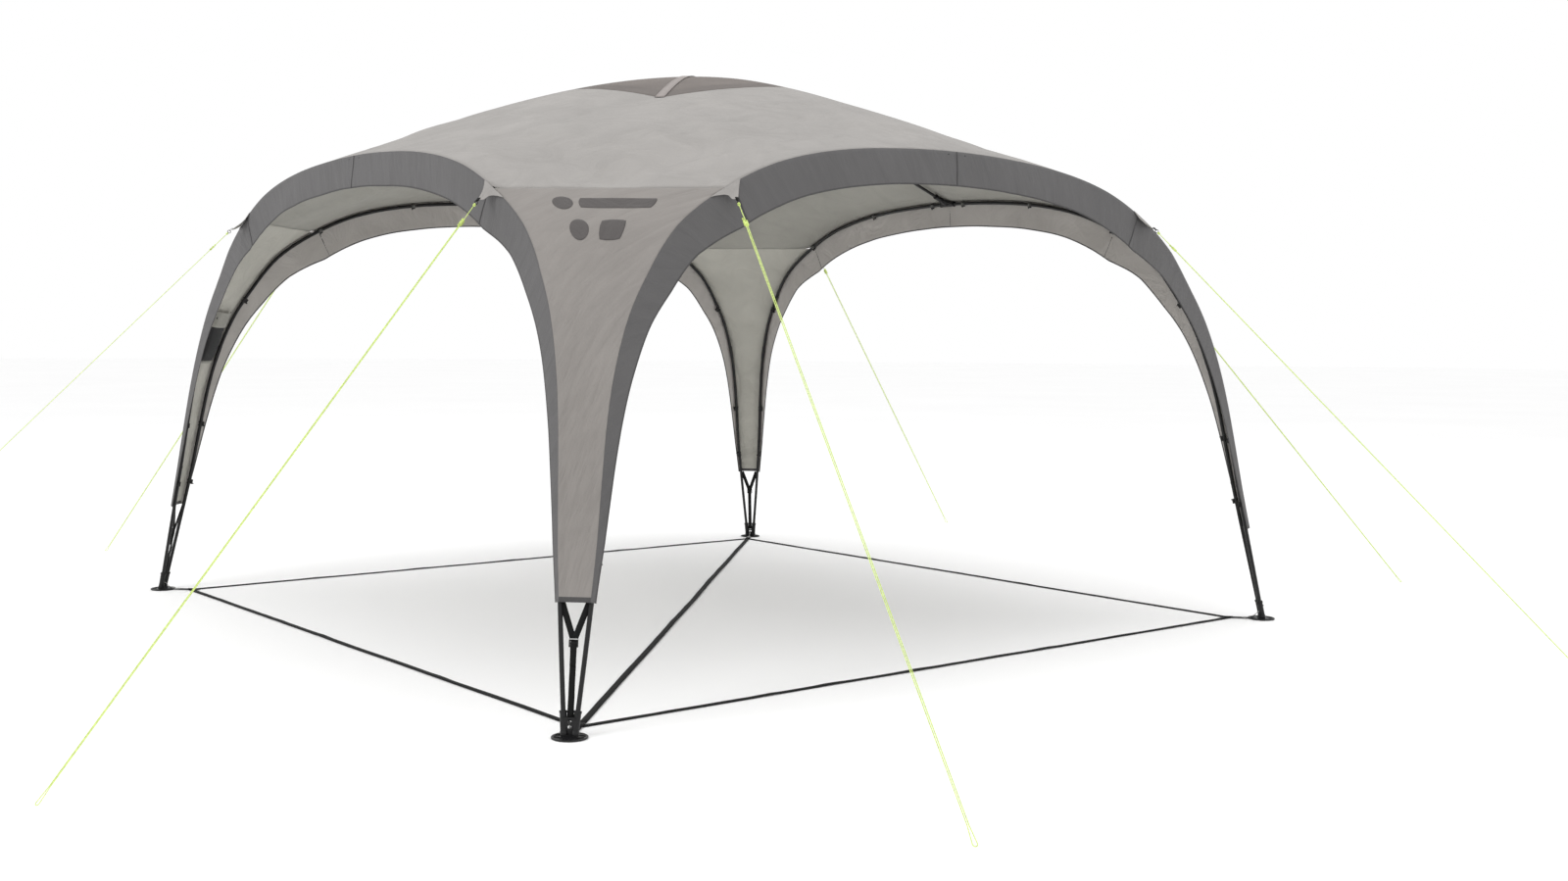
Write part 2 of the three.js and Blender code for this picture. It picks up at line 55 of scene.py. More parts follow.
# ---- the frame's driving dimensions ----------------------------------------------------------
FOOT_HALF = 1.838  # arch plane to centre, at the ground
LEAN = 0.0937  # how far each arch leans in, for each metre of height
BOW_DEPTH, BOW_HEIGHT, BOW_POWER = 0.026, 1.5, 1.8  # how far the legs bow in, most at a height
POLE_R = 0.008
ARCH_HALF = [
    (0, 1.931), (0.3, 1.922), (0.6, 1.893), (0.88, 1.831), (1.105, 1.732), (1.302, 1.6),
    (1.428, 1.44), (1.507, 1.315), (1.578, 1.14), (1.628, 0.945), (1.689, 0.59), (1.747, 0.31),
    (1.808, 0.03),
]
MID_Z = ARCH_HALF[0][1]
SHOULDER_U, SHOULDER_Z = ARCH_HALF[4]
LEG_TOP_Z = 1.14
HEM_Z = 0.408
ROOF_RISE = 0.467
ROOF_POWER = 1.52
ROOF_SLACK = 0.10
VENT_HALF = 0.657
CROSS_DROP = 0.024
TEE_REACH = 0.034
GUY_TAB = (1.113, 1.745, 1.694)
GUY_PEG = (1.621, 3.347, 0.003)
SLIDER_DROP = 0.11
WEB = 0.02
GROUND_WEB = 0.025
GROUND_CORNER = 1.725
BUCKLE_Z = 0.285
FOLD_OUT = 0.013  # cloth at the fold, outside the pole's centre line

SIDES = ("front_right", "back_right", "back_left", "front_left")
CORNERS = ("front", "right", "back", "left")
ROOT = "shelter"
ACROSS = Vector((1, -1, 0)).normalized()  # along the front corner's leg panel
UP = Vector((0, 0, 1))


# ---- sizes and colours that a user would change --------------------------------------------
class ShelterSizes(bpy.types.PropertyGroup):
    cloth_thickness: bpy.props.FloatProperty(
        name="Cloth thickness", description="Thickness of every cloth panel",
        default=0.0012, min=0.0004, max=0.003, unit="LENGTH")
    crease: bpy.props.FloatProperty(
        name="Crease depth", description="Depth of the pull lines in the cloth",
        default=0.007, min=0, max=0.02, unit="LENGTH")
    valance_middle: bpy.props.FloatProperty(
        name="Valance at the middle", description="Depth of the valance over a doorway's middle",
        default=0.117, min=0.05, max=0.3, unit="LENGTH")
    valance_shoulder: bpy.props.FloatProperty(
        name="Valance at the shoulder", description="Depth of the valance at a shoulder",
        default=0.140, min=0.05, max=0.3, unit="LENGTH")
    valance_hem: bpy.props.FloatProperty(
        name="Valance at the hem", description="Width of the valance at the bottom of a leg",
        default=0.009, min=0.005, max=0.1, unit="LENGTH")
    cord: bpy.props.FloatProperty(
        name="Guyline", description="Diameter of a guyline",
        default=0.003, min=0.002, max=0.006, unit="LENGTH")


class ShelterColours(bpy.types.PropertyGroup):
    roof: bpy.props.FloatVectorProperty(
        name="Roof", description="Roof cloth", subtype="COLOR", default=(0.375, 0.358, 0.343))
    leg: bpy.props.FloatVectorProperty(
        name="Legs", description="Leg cloth", subtype="COLOR", default=(0.272, 0.253, 0.238))
    valance: bpy.props.FloatVectorProperty(
        name="Valance", description="Valance cloth", subtype="COLOR",
        default=(0.110, 0.107, 0.108))
    lining: bpy.props.FloatVectorProperty(
        name="Coated side", description="Inside of the light cloth", subtype="COLOR",
        default=(0.352, 0.345, 0.310))
    vent: bpy.props.FloatVectorProperty(
        name="Vent mesh", description="Mesh in the roof vent", subtype="COLOR",
        default=(0.185, 0.163, 0.150))
    black: bpy.props.FloatVectorProperty(
        name="Poles", description="Poles and mouldings", subtype="COLOR",
        default=(0.006, 0.006, 0.0065))
    webbing: bpy.props.FloatVectorProperty(
        name="Webbing", description="Straps", subtype="COLOR", default=(0.005, 0.005, 0.005))
    guy: bpy.props.FloatVectorProperty(
        name="Guylines", description="Guylines and runners", subtype="COLOR",
        default=(0.58, 0.72, 0.19))


def sizes():
    return bpy.context.scene.shelter_sizes


def colours():
    return bpy.context.scene.shelter_colours


# ---- the arch ------------------------------------------------------------------------------
def catmull(points, per_span=40):
    """A centripetal Catmull-Rom curve through the points, as a fine polyline."""
    ends = [2 * points[0] - points[1], *points, 2 * points[-1] - points[-2]]
    line = []
    for i in range(1, len(ends) - 2):
        p = ends[i - 1:i + 3]
        knots = [0.0]
        for a, b in zip(p, p[1:]):
            knots.append(knots[-1] + math.sqrt(max((b - a).length, 1e-9)))
        for step in range(per_span):
            t = knots[1] + (knots[2] - knots[1]) * step / per_span
            rows = list(p)
            for level in (1, 2, 3):
                rows = [
                    rows[k].lerp(rows[k + 1], (t - knots[k]) / (knots[k + level] - knots[k]))
                    for k in range(4 - level)
                ]
            line.append(rows[0])
    return [*line, points[-1]]


class Route:
    """A polyline that is read by its share of length."""

    def __init__(self, points):
        self.points = points
        self.along = [0.0]
        for a, b in zip(points, points[1:]):
            self.along.append(self.along[-1] + (b - a).length)
        self.length = self.along[-1]

    def find(self, share):
        want = min(max(share, 0.0), 1.0) * self.length
        low, high = 0, len(self.points) - 2
        while low < high:
            middle = (low + high + 1) // 2
            low, high = (middle, high) if self.along[middle] <= want else (low, middle - 1)
        span = self.along[low + 1] - self.along[low]
        return low, (want - self.along[low]) / max(span, 1e-9)

    def at(self, share):
        i, t = self.find(share)
        return self.points[i].lerp(self.points[i + 1], t)

    def way(self, share, reach=0.004):
        return (self.at(share + reach) - self.at(share - reach)).normalized()


ARCH = Route(catmull(
    [Vector((-u, 0, z)) for u, z in reversed(ARCH_HALF[1:])]
    + [Vector((u, 0, z)) for u, z in ARCH_HALF]))


def share_at_height(z):
    """Share of the arch's length at which its right half passes a height."""
    low, high = 0.5, 1.0
    for _ in range(40):
        middle = (low + high) / 2
        low, high = (middle, high) if ARCH.at(middle).z > z else (low, middle)
    return low


HEM = share_at_height(HEM_Z)
LEG_TOP = share_at_height(LEG_TOP_Z)
SHOULDER = share_at_height(SHOULDER_Z)


def bow_at(z):
    if z < BOW_HEIGHT:
        return BOW_DEPTH * (max(z, 0) / BOW_HEIGHT) ** BOW_POWER
    over = min((z - BOW_HEIGHT) / (MID_Z - BOW_HEIGHT), 1)
    return BOW_DEPTH * (1 + math.cos(math.pi * over)) / 2


def plane_at(z):
    return FOOT_HALF - LEAN * z - bow_at(z)


def on_side(u, z, out=0.0):
    return Vector((u, -(plane_at(z) + out), z))


def turned(point, quarter):
    return Matrix.Rotation(quarter * math.pi / 2, 3, "Z") @ point


def mirrored(point):
    return Vector((point.y, point.x, point.z))


def arch_at(share, away=0.0, out=0.0):
    """Point on side 0's arch: away from the doorway in its plane, and out of its plane."""
    point, way = ARCH.at(share), ARCH.way(share)
    return on_side(point.x - way.z * away, point.z + way.x * away, out)


def fold_at(share):
    """Line along which the roof and leg cloth turn over into the valance."""
    return arch_at(share, FOLD_OUT, FOLD_OUT)


def corner_at(share):
    """Middle, width and outward facing of the front leg panel's row at a share of the arch."""
    one = fold_at(share)
    other = mirrored(one)
    way = fold_at(share + 0.003) - fold_at(share - 0.003)
    way -= ACROSS * way.dot(ACROSS)
    facing = way.normalized().cross(ACROSS).normalized()
    if facing.dot(Vector((-1, -1, 0.3))) < 0:
        facing = -facing
    return (one + other) / 2, (one - other).length, facing


# ---- the roof's height ---------------------------------------------------------------------
ROOF_BASE = plane_at(MID_Z)


def ridge_z(t):
    return -ROOF_RISE * (abs(t) / ROOF_BASE) ** ROOF_POWER


def edge_z(u):
    return -(MID_Z - SHOULDER_Z) * min(abs(u) / SHOULDER_U, 1.2) ** 2.9


def roof_z(x, y):
    """Height of the poles' net over a point on plan: a dome let down towards a straight drape."""
    ax, ay = abs(x) / ROOF_BASE, abs(y) / ROOF_BASE
    dome = ridge_z(x) + ridge_z(y)
    dome += (edge_z(x) - ridge_z(x)) * ay * ay + (edge_z(y) - ridge_z(y)) * ax * ax
    reach = abs(x) + abs(y)
    drape = ridge_z(reach) if reach <= ROOF_BASE else -ROOF_RISE + edge_z(reach - ROOF_BASE)
    return MID_Z + ROOF_RISE + (1 - ROOF_SLACK) * dome + ROOF_SLACK * drape


def roof_outline(place, inner_half):
    """Outer and inner point of the roof at a place round it, from 0 to 4, side by side."""
    seam = 0.16  # share of each side's stretch that goes to the corner seam
    side, part = int(place) % 4, place - int(place)
    over = min(part / (1 - seam), 1.0)
    outer = fold_at(1 - SHOULDER + (2 * SHOULDER - 1) * over)
    inner = Vector((inner_half * (2 * over - 1), -inner_half, 0))
    outer, inner = turned(outer, side), turned(inner, side)
    if part > 1 - seam:
        share = (part - 1 + seam) / seam
        outer = outer.lerp(turned(fold_at(1 - SHOULDER), side + 1), share)
    return outer, inner


# ---- mesh helpers ----------------------------------------------------------------------------
def finished(name, bm, materials, smooth=True, hard=False):
    """Makes a bmesh into an object in the scene; hard keeps its sharp edges sharp."""
    mesh = bpy.data.meshes.new(name)
    bm.to_mesh(mesh)
    bm.free()
    for material in materials:
        mesh.materials.append(material)
    mesh.polygons.foreach_set("use_smooth", [smooth] * len(mesh.polygons))
    if hard:
        mesh.set_sharp_from_angle(angle=math.radians(35))
    piece = bpy.data.objects.new(name, mesh)
    bpy.context.scene.collection.objects.link(piece)
    return piece


def fit(piece, replaces=(), body=ROOT):
    """Rides a piece on its body, and hides the part it replaces."""
    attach(piece, body)
    if replaces:
        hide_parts(replaces)
    return piece


def spin_side(bm, quarter):
    """Turns what was drawn at the front to its own side or corner."""
    bmesh.ops.rotate(bm, cent=(0, 0, 0), verts=bm.verts[:],
                     matrix=Matrix.Rotation(quarter * math.pi / 2, 3, "Z"))


def turn_piece(piece, quarter):
    piece.data.transform(Matrix.Rotation(quarter * math.pi / 2, 4, "Z"))


def carve(piece, cutters):
    """Cuts closed shapes out of a piece for good."""
    mesh = bpy.data.meshes.new("cutter")
    cutters.to_mesh(mesh)
    cutters.free()
    cutter = bpy.data.objects.new("cutter", mesh)
    bpy.context.scene.collection.objects.link(cutter)
    cut = piece.modifiers.new("cut", "BOOLEAN")
    cut.object, cut.operation, cut.solver, cut.use_self = cutter, "DIFFERENCE", "EXACT", True
    graph = bpy.context.evaluated_depsgraph_get()
    result = bpy.data.meshes.new_from_object(piece.evaluated_get(graph))
    piece.modifiers.clear()
    piece.data = result
    result.polygons.foreach_set("use_smooth", [True] * len(result.polygons))
    result.set_sharp_from_angle(angle=math.radians(35))
    bpy.data.objects.remove(cutter)
    bpy.data.meshes.remove(mesh)


def ring(bm, centre, axis, major, minor, steps=24, sides=8):
    """Adds a round ring of round section about an axis."""
    side = axis.orthogonal().normalized()
    made = bmesh.ops.create_circle(bm, segments=sides, radius=minor)["verts"]
    bmesh.ops.rotate(bm, cent=(0, 0, 0), verts=made,
                     matrix=Matrix((side, axis, side.cross(axis))).transposed())
    bmesh.ops.translate(bm, vec=centre + side * major, verts=made)
    edges = list({e for v in made for e in v.link_edges})
    bmesh.ops.spin(bm, geom=made + edges, cent=centre, axis=axis, angle=2 * math.pi,
                   steps=steps, use_merge=True)
    faces = list({f for v in made for f in v.link_faces})
    around = {f for f in bm.faces if f in faces}
    reach = set(around)
    while around:
        around = {g for f in around for e in f.edges for g in e.link_faces} - reach
        reach |= around
    bmesh.ops.recalc_face_normals(bm, faces=list(reach))


def cloth_grid(columns, rows, width, height, at, closed=False, band=None):
    """A grid of cloth laid on at(s, t), with a UV map in metres; band names a face's finish."""
    bm = bmesh.new()
    uv = bm.loops.layers.uv.new("UVMap")
    bmesh.ops.create_grid(bm, x_segments=columns, y_segments=rows, size=0.5)
    flat = {v: (v.co.x + 0.5, v.co.y + 0.5) for v in bm.verts}
    for face in bm.faces:
        for loop in face.loops:
            s, t = flat[loop.vert]
            loop[uv].uv = (s * width, t * height)
        if band:
            spots = [flat[v] for v in face.verts]
            face.material_index = band(sum(s for s, _ in spots) / len(spots),
                                       sum(t for _, t in spots) / len(spots))
    for vert, (s, t) in flat.items():
        vert.co = at(s, t)
    if closed:
        bmesh.ops.remove_doubles(bm, verts=bm.verts[:], dist=1e-5)
    bmesh.ops.recalc_face_normals(bm, faces=bm.faces[:])
    return bm


def face_towards(bm, way):
    """Turns a sheet over if it faces away from a direction."""
    bm.normal_update()
    if sum((f.normal * f.calc_area() for f in bm.faces), Vector()).dot(way) < 0:
        bmesh.ops.reverse_faces(bm, faces=bm.faces[:])


def thicken(piece, thickness, offset=-1.0, inner=0):
    solid = piece.modifiers.new("thickness", "SOLIDIFY")
    solid.thickness = thickness
    solid.offset = offset
    solid.material_offset = inner
    solid.material_offset_rim = 0
    return piece


def strip(bm, points, sides, width, columns=2):
    """Adds a flat band of cloth or webbing along points; sides are unit vectors across it."""
    uv = bm.loops.layers.uv.verify()
    rows = len(points) - 1
    far = [0.0]
    for a, b in zip(points, points[1:]):
        far.append(far[-1] + (b - a).length)
    made = bmesh.ops.create_grid(bm, x_segments=columns, y_segments=rows, size=0.5)["verts"]
    flat = {v: (v.co.x + 0.5, round((v.co.y + 0.5) * rows)) for v in made}
    for face in {f for v in made for f in v.link_faces}:
        for loop in face.loops:
            s, row = flat[loop.vert]
            loop[uv].uv = (s * width, far[row])
    for vert, (s, row) in flat.items():
        vert.co = points[row] + sides[row] * width * (s - 0.5)
    return made


def rod_along(name, points, radius, material, resolution=4):
    """A round bar or cord along a line of points."""
    data = bpy.data.curves.new(name, "CURVE")
    data.dimensions = "3D"
    data.bevel_depth = radius
    data.bevel_resolution = resolution
    data.use_fill_caps = True
    spline = data.splines.new("POLY")
    spline.points.add(len(points) - 1)
    for spot, point in zip(spline.points, points):
        spot.co = (*point, 1)
    data.materials.append(material)
    piece = bpy.data.objects.new(name, data)
    bpy.context.scene.collection.objects.link(piece)
    return piece


def aim(way):
    """Rotation that stands Z along a direction."""
    return way.to_track_quat("Z", "Y").to_matrix().to_4x4()


def drum(bm, start, end, radius, end_radius=None, segments=24):
    """Adds a capped cylinder or cone between two points."""
    length = (end - start).length
    matrix = Matrix.Translation((start + end) / 2) @ aim(end - start)
    made = bmesh.ops.create_cone(
        bm, cap_ends=True, cap_tris=False, segments=segments, radius1=radius,
        radius2=radius if end_radius is None else end_radius, depth=length, matrix=matrix)
    return made["verts"]


def block(bm, centre, size, matrix=None):
    """Adds a box; matrix turns it about its centre."""
    made = bmesh.ops.create_cube(bm, size=1)["verts"]
    bmesh.ops.scale(bm, vec=size, verts=made)
    if matrix is not None:
        bmesh.ops.rotate(bm, cent=(0, 0, 0), matrix=matrix, verts=made)
    bmesh.ops.translate(bm, vec=centre, verts=made)
    return made


def rounded(piece, width, segments=2):
    bevel = piece.modifiers.new("edges", "BEVEL")
    bevel.width = width
    bevel.segments = segments
    bevel.limit_method = "ANGLE"
    return piece


def crinkle(x, y, seed, stretch=8.0, size=0.35):
    """Long soft folds that run along x, between -1 and 1."""
    long = noise.noise(Vector((x / size / 1.6, y * stretch / size / 3.2, seed)))
    short = noise.noise(Vector((x / size * 1.3, y * stretch / size / 1.2, seed + 7.3)))
    return long * 1.1 + short * 0.45


def pleat(x, y, seed, width=0.07):
    """Narrow raised lines in the cloth that run along x, between 0 and 1."""
    return 1 - min(2.4 * abs(noise.noise(Vector((x / width / 6, y / width / 1.6, seed)))), 1)


def ease(t):
    t = min(max(t, 0.0), 1.0)
    return t * t * (3 - 2 * t)


# ---- materials -----------------------------------------------------------------------------
def shader(name, colour, roughness, **sockets):
    material = bpy.data.materials.new(name)
    material.use_nodes = True
    tree = material.node_tree
    bsdf = tree.nodes["Principled BSDF"]
    bsdf.inputs["Base Color"].default_value = (*colour, 1)
    bsdf.inputs["Roughness"].default_value = roughness
    for socket, value in sockets.items():
        bsdf.inputs[socket.replace("_", " ")].default_value = value
    return material, tree, bsdf


def add_node(tree, kind, **values):
    made = tree.nodes.new(kind)
    for name, value in values.items():
        if name in made.inputs:
            made.inputs[name].default_value = value
        else:
            setattr(made, name, value)
    return made


def mottle(tree, bsdf, colour, coordinates, scale, spread, detail=4.0):
    """Varies the base colour a little, by noise."""
    spots = add_node(tree, "ShaderNodeTexNoise", Scale=scale, Detail=detail)
    ramp = tree.nodes.new("ShaderNodeValToRGB")
    ramp.color_ramp.elements[0].position = 0.3
    ramp.color_ramp.elements[1].position = 0.7
    ramp.color_ramp.elements[0].color = (*[c * (1 - spread) for c in colour], 1)
    ramp.color_ramp.elements[1].color = (*[min(c * (1 + spread), 1) for c in colour], 1)
    tree.links.new(coordinates, spots.inputs["Vector"])
    tree.links.new(spots.outputs["Fac"], ramp.inputs["Fac"])
    tree.links.new(ramp.outputs["Color"], bsdf.inputs["Base Color"])
    return ramp


def weave_height(tree, uv, pitch):
    """Plain weave as a height: two crossed sets of threads."""
    scale = 2 * math.pi / (20 * pitch)
    warp = add_node(tree, "ShaderNodeTexWave", Scale=scale, bands_direction="X")
    weft = add_node(tree, "ShaderNodeTexWave", Scale=scale, bands_direction="Y")
    both = add_node(tree, "ShaderNodeMath", operation="MULTIPLY")
    for wave, socket in ((warp, 0), (weft, 1)):
        tree.links.new(uv, wave.inputs["Vector"])
        tree.links.new(wave.outputs["Fac"], both.inputs[socket])
    return both.outputs[0]


def bump(tree, bsdf, height, strength, distance):
    node = add_node(tree, "ShaderNodeBump", Strength=strength, Distance=distance)
    tree.links.new(height, node.inputs["Height"])
    tree.links.new(node.outputs["Normal"], bsdf.inputs["Normal"])
    return node


def coordinates(tree, kind):
    return tree.nodes.new("ShaderNodeTexCoord").outputs[kind]


THREAD = 0.0011  # from one thread of the cloth to the next


def cloth(name, colour, glow, lean=None):
    """Coated polyester: fine plain weave, small creases with painted shade along them, some light
    through it.

    The creases run every way, or at an angle to the cloth's own UV map if it is given.
    """
    material, tree, bsdf = shader(name, colour, 0.78, Sheen_Weight=0.08, Sheen_Roughness=0.5)
    where = coordinates(tree, "Object")
    ramp = mottle(tree, bsdf, colour, where, 2.3, 0.05)
    weave = bump(tree, bsdf, weave_height(tree, coordinates(tree, "UV"), THREAD), 0.35, 0.0003)
    folds = add_node(tree, "ShaderNodeTexNoise", Scale=5.5, Detail=5, Roughness=0.55,
                     Distortion=1.2)
    creases = add_node(tree, "ShaderNodeBump", Strength=0.5, Distance=0.035)
    if lean is None:
        tree.links.new(where, folds.inputs["Vector"])
    else:
        turn = add_node(tree, "ShaderNodeMapping", vector_type="TEXTURE",
                        Rotation=(0, 0, math.radians(lean)), Scale=(1.5, 0.25, 1.0))
        folds.inputs["Distortion"].default_value = 0.5
        tree.links.new(coordinates(tree, "UV"), turn.inputs["Vector"])
        tree.links.new(turn.outputs["Vector"], folds.inputs["Vector"])
        creases.inputs["Distance"].default_value = 0.012
    tree.links.new(folds.outputs["Fac"], creases.inputs["Height"])
    tree.links.new(creases.outputs["Normal"], weave.inputs["Normal"])
    # Painted shade and light on the creases: the base colour is scaled from 1.05 down to 0.95 as
    # the fold noise rises.
    shade = add_node(tree, "ShaderNodeMapRange")
    for socket, value in (("From Min", 0.32), ("From Max", 0.68), ("To Min", 1.05),
                          ("To Max", 0.95)):
        shade.inputs[socket].default_value = value
    fold_shaded_colour = add_node(tree, "ShaderNodeVectorMath", operation="SCALE")
    tree.links.new(folds.outputs["Fac"], shade.inputs["Value"])
    tree.links.new(ramp.outputs["Color"], fold_shaded_colour.inputs[0])
    tree.links.new(shade.outputs["Result"], fold_shaded_colour.inputs["Scale"])
    tree.links.new(fold_shaded_colour.outputs["Vector"], bsdf.inputs["Base Color"])
    if glow:
        through = tree.nodes.new("ShaderNodeBsdfTranslucent")
        mix = add_node(tree, "ShaderNodeMixShader", Fac=glow)
        tree.links.new(fold_shaded_colour.outputs["Vector"], through.inputs["Color"])
        tree.links.new(bsdf.outputs["BSDF"], mix.inputs[1])
        tree.links.new(through.outputs["BSDF"], mix.inputs[2])
        tree.links.new(mix.outputs["Shader"], tree.nodes["Material Output"].inputs["Surface"])
    return material


def webbing(name, colour, pitch=0.0025):
    """Woven strap: herringbone ridges along it."""
    material, tree, bsdf = shader(name, colour, 0.8, Sheen_Weight=0.02, Specular_IOR_Level=0.2)
    uv = coordinates(tree, "UV")
    mottle(tree, bsdf, colour, uv, 300, 0.25, 2)
    bump(tree, bsdf, weave_height(tree, uv, pitch), 0.6, 0.0006)
    return material


def moulding(name, colour):
    """Moulded plastic with a fine grain and scuffs."""
    material, tree, bsdf = shader(name, colour, 0.42, Specular_IOR_Level=0.32)
    where = coordinates(tree, "Object")
    mottle(tree, bsdf, colour, where, 60, 0.3)
    grain = add_node(tree, "ShaderNodeTexNoise", Scale=900, Detail=2)
    tree.links.new(where, grain.inputs["Vector"])
    bump(tree, bsdf, grain.outputs["Fac"], 0.25, 0.0002)
    return material


def coated_tube(name, colour):
    """Powder-coated tube: slight orange peel and rubbed patches."""
    material, tree, bsdf = shader(name, colour, 0.36, Specular_IOR_Level=0.35)
    where = coordinates(tree, "Object")
    mottle(tree, bsdf, colour, where, 18, 0.35)
    peel = add_node(tree, "ShaderNodeTexNoise", Scale=600, Detail=3)
    tree.links.new(where, peel.inputs["Vector"])
    bump(tree, bsdf, peel.outputs["Fac"], 0.15, 0.0003)
    return material


def braid(name, colour):
    """Braided guyline with a pale fleck."""
    material, tree, bsdf = shader(name, colour, 0.6, Sheen_Weight=0.2)
    where = coordinates(tree, "Object")
    mottle(tree, bsdf, colour, where, 260, 0.3, 1)
    twist = add_node(tree, "ShaderNodeTexWave", Scale=120, Distortion=1.5,
                     bands_direction="DIAGONAL")
    tree.links.new(where, twist.inputs["Vector"])
    bump(tree, bsdf, twist.outputs["Fac"], 0.5, 0.0004)
    return material


def net(name, colour, opacity):
    """Fine see-through mesh: a small grid over an even half-clear cloth."""
    material, tree, bsdf = shader(name, colour, 0.85)
    bsdf.inputs["Alpha"].default_value = opacity
    mottle(tree, bsdf, colour, coordinates(tree, "Object"), 5, 0.08)
    bump(tree, bsdf, weave_height(tree, coordinates(tree, "UV"), 0.0018), 0.5, 0.0004)
    return material


def worn_steel(name):
    material, tree, bsdf = shader(name, (0.55, 0.55, 0.54), 0.32, Metallic=1.0)
    where = coordinates(tree, "Object")
    mottle(tree, bsdf, (0.55, 0.55, 0.54), where, 90, 0.2)
    return material


MATERIALS = {}


def make_materials():
    c = colours()
    MATERIALS.update(
        roof=cloth("roof_cloth", c.roof, 0.22),
        leg=cloth("leg_cloth", c.leg, 0.15, lean=-28),
        valance=cloth("valance_cloth", c.valance, 0.10, lean=70),
        lining=cloth("roof_cloth_inside", c.lining, 0.22),
        # Painted light: the inside of the legs is the lining colour raised 1.5 times, standing in
        # for light coming through the lit panels.
        leg_lining=cloth("leg_cloth_inside_painted_backlight", [x * 1.5 for x in c.lining], 0.22),
        valance_lining=cloth("valance_cloth_inside", (0.50, 0.475, 0.45), 0.15),
        binding=webbing("dark_binding", [x * 0.75 for x in c.valance], 0.0016),
        vent=net("vent_mesh", c.vent, 0.80),
        vent_hem=net("vent_hem", [x * 0.72 for x in c.vent], 0.95),
        vent_tape=cloth("vent_tape", (0.33, 0.295, 0.28), 0.15),
        pocket=net("pocket_mesh", (0.02, 0.02, 0.021), 0.93),
        print=cloth("print_ink", (0.075, 0.068, 0.066), 0.0),
        pole=coated_tube("black_tube", c.black),
        plastic=moulding("black_moulding", c.black),
        web=webbing("black_webbing", c.webbing),
        grey_web=webbing("grey_webbing", (0.16, 0.16, 0.15)),
        cord=braid("lime_cord", c.guy),
        runner=moulding("lime_runner", [x * 0.9 for x in c.guy]),
        steel=worn_steel("worn_steel"),
    )


# ---- stage ---------------------------------------------------------------------------------
# The camera's place, its turn and its lens.
CAMERA_AT = (-4.530, -6.071, 1.2506)
CAMERA_TURN = math.radians(38.15)
CAMERA_DOWN = math.radians(3.71)
CAMERA_ROLL = math.radians(0.41)
CAMERA_LENS = 37.66
CAMERA_SHIFT = 0.0334


class SHELTER_OT_stage(bpy.types.Operator):
    """Makes the camera, the lights and a plain pale floor"""
    bl_idname = "shelter.stage"
    bl_label = "Stage"

    def execute(self, context):
        scene = context.scene
        turn, down = CAMERA_TURN, CAMERA_DOWN
        ahead = Vector((math.sin(turn) * math.cos(down), math.cos(turn) * math.cos(down),
                        -math.sin(down)))
        right = Vector((math.cos(turn), -math.sin(turn), 0))
        upward = right.cross(ahead)
        roll = Matrix.Rotation(-CAMERA_ROLL, 3, ahead)
        right, upward = roll @ right, roll @ upward
        data = bpy.data.cameras.new("camera")
        data.sensor_width = 36
        data.lens = CAMERA_LENS
        data.shift_x = CAMERA_SHIFT
        data.clip_end = 200
        camera = bpy.data.objects.new("camera", data)
        camera.matrix_world = Matrix((
            (right.x, upward.x, -ahead.x, CAMERA_AT[0]),
            (right.y, upward.y, -ahead.y, CAMERA_AT[1]),
            (right.z, upward.z, -ahead.z, CAMERA_AT[2]),
            (0, 0, 0, 1)))
        scene.collection.objects.link(camera)
        scene.camera = camera

        bm = bmesh.new()
        bmesh.ops.create_circle(bm, cap_ends=True, segments=96, radius=70)
        floor_finish, tree, bsdf = shader("pale_floor", (0.98, 0.98, 0.98), 0.95)
        mottle(tree, bsdf, (0.98, 0.98, 0.98), coordinates(tree, "Object"), 0.4, 0.01)
        floor = finished("floor", bm, [floor_finish], smooth=False)
        floor.location.z = -0.002

        world = bpy.data.worlds.new("studio")
        scene.world = world
        world.use_nodes = True
        back = world.node_tree.nodes["Background"]
        back.inputs["Color"].default_value = (1, 1, 1, 1)
        back.inputs["Strength"].default_value = 1.0
        for name, spot, size, power in (
            ("key", (-8.5, -1.0, 7.0), 3.5, 220),
            ("top", (1.0, -1.0, 9.0), 8.0, 200),
            ("side", (8.0, -6.0, 5.0), 5.0, 60),
        ):
            light = bpy.data.lights.new(name, "AREA")
            light.size = size
            light.energy = power
            lamp = bpy.data.objects.new(name, light)
            lamp.location = spot
            aim_at = Vector((0, 0, 1.2)) - Vector(spot)
            lamp.rotation_euler = aim_at.to_track_quat("-Z", "Y").to_euler()
            scene.collection.objects.link(lamp)
        scene.view_settings.view_transform = "Standard"
        return {"FINISHED"}


# ---- canopy --------------------------------------------------------------------------------
ROOF_COLUMNS, ROOF_ROWS = 288, 46


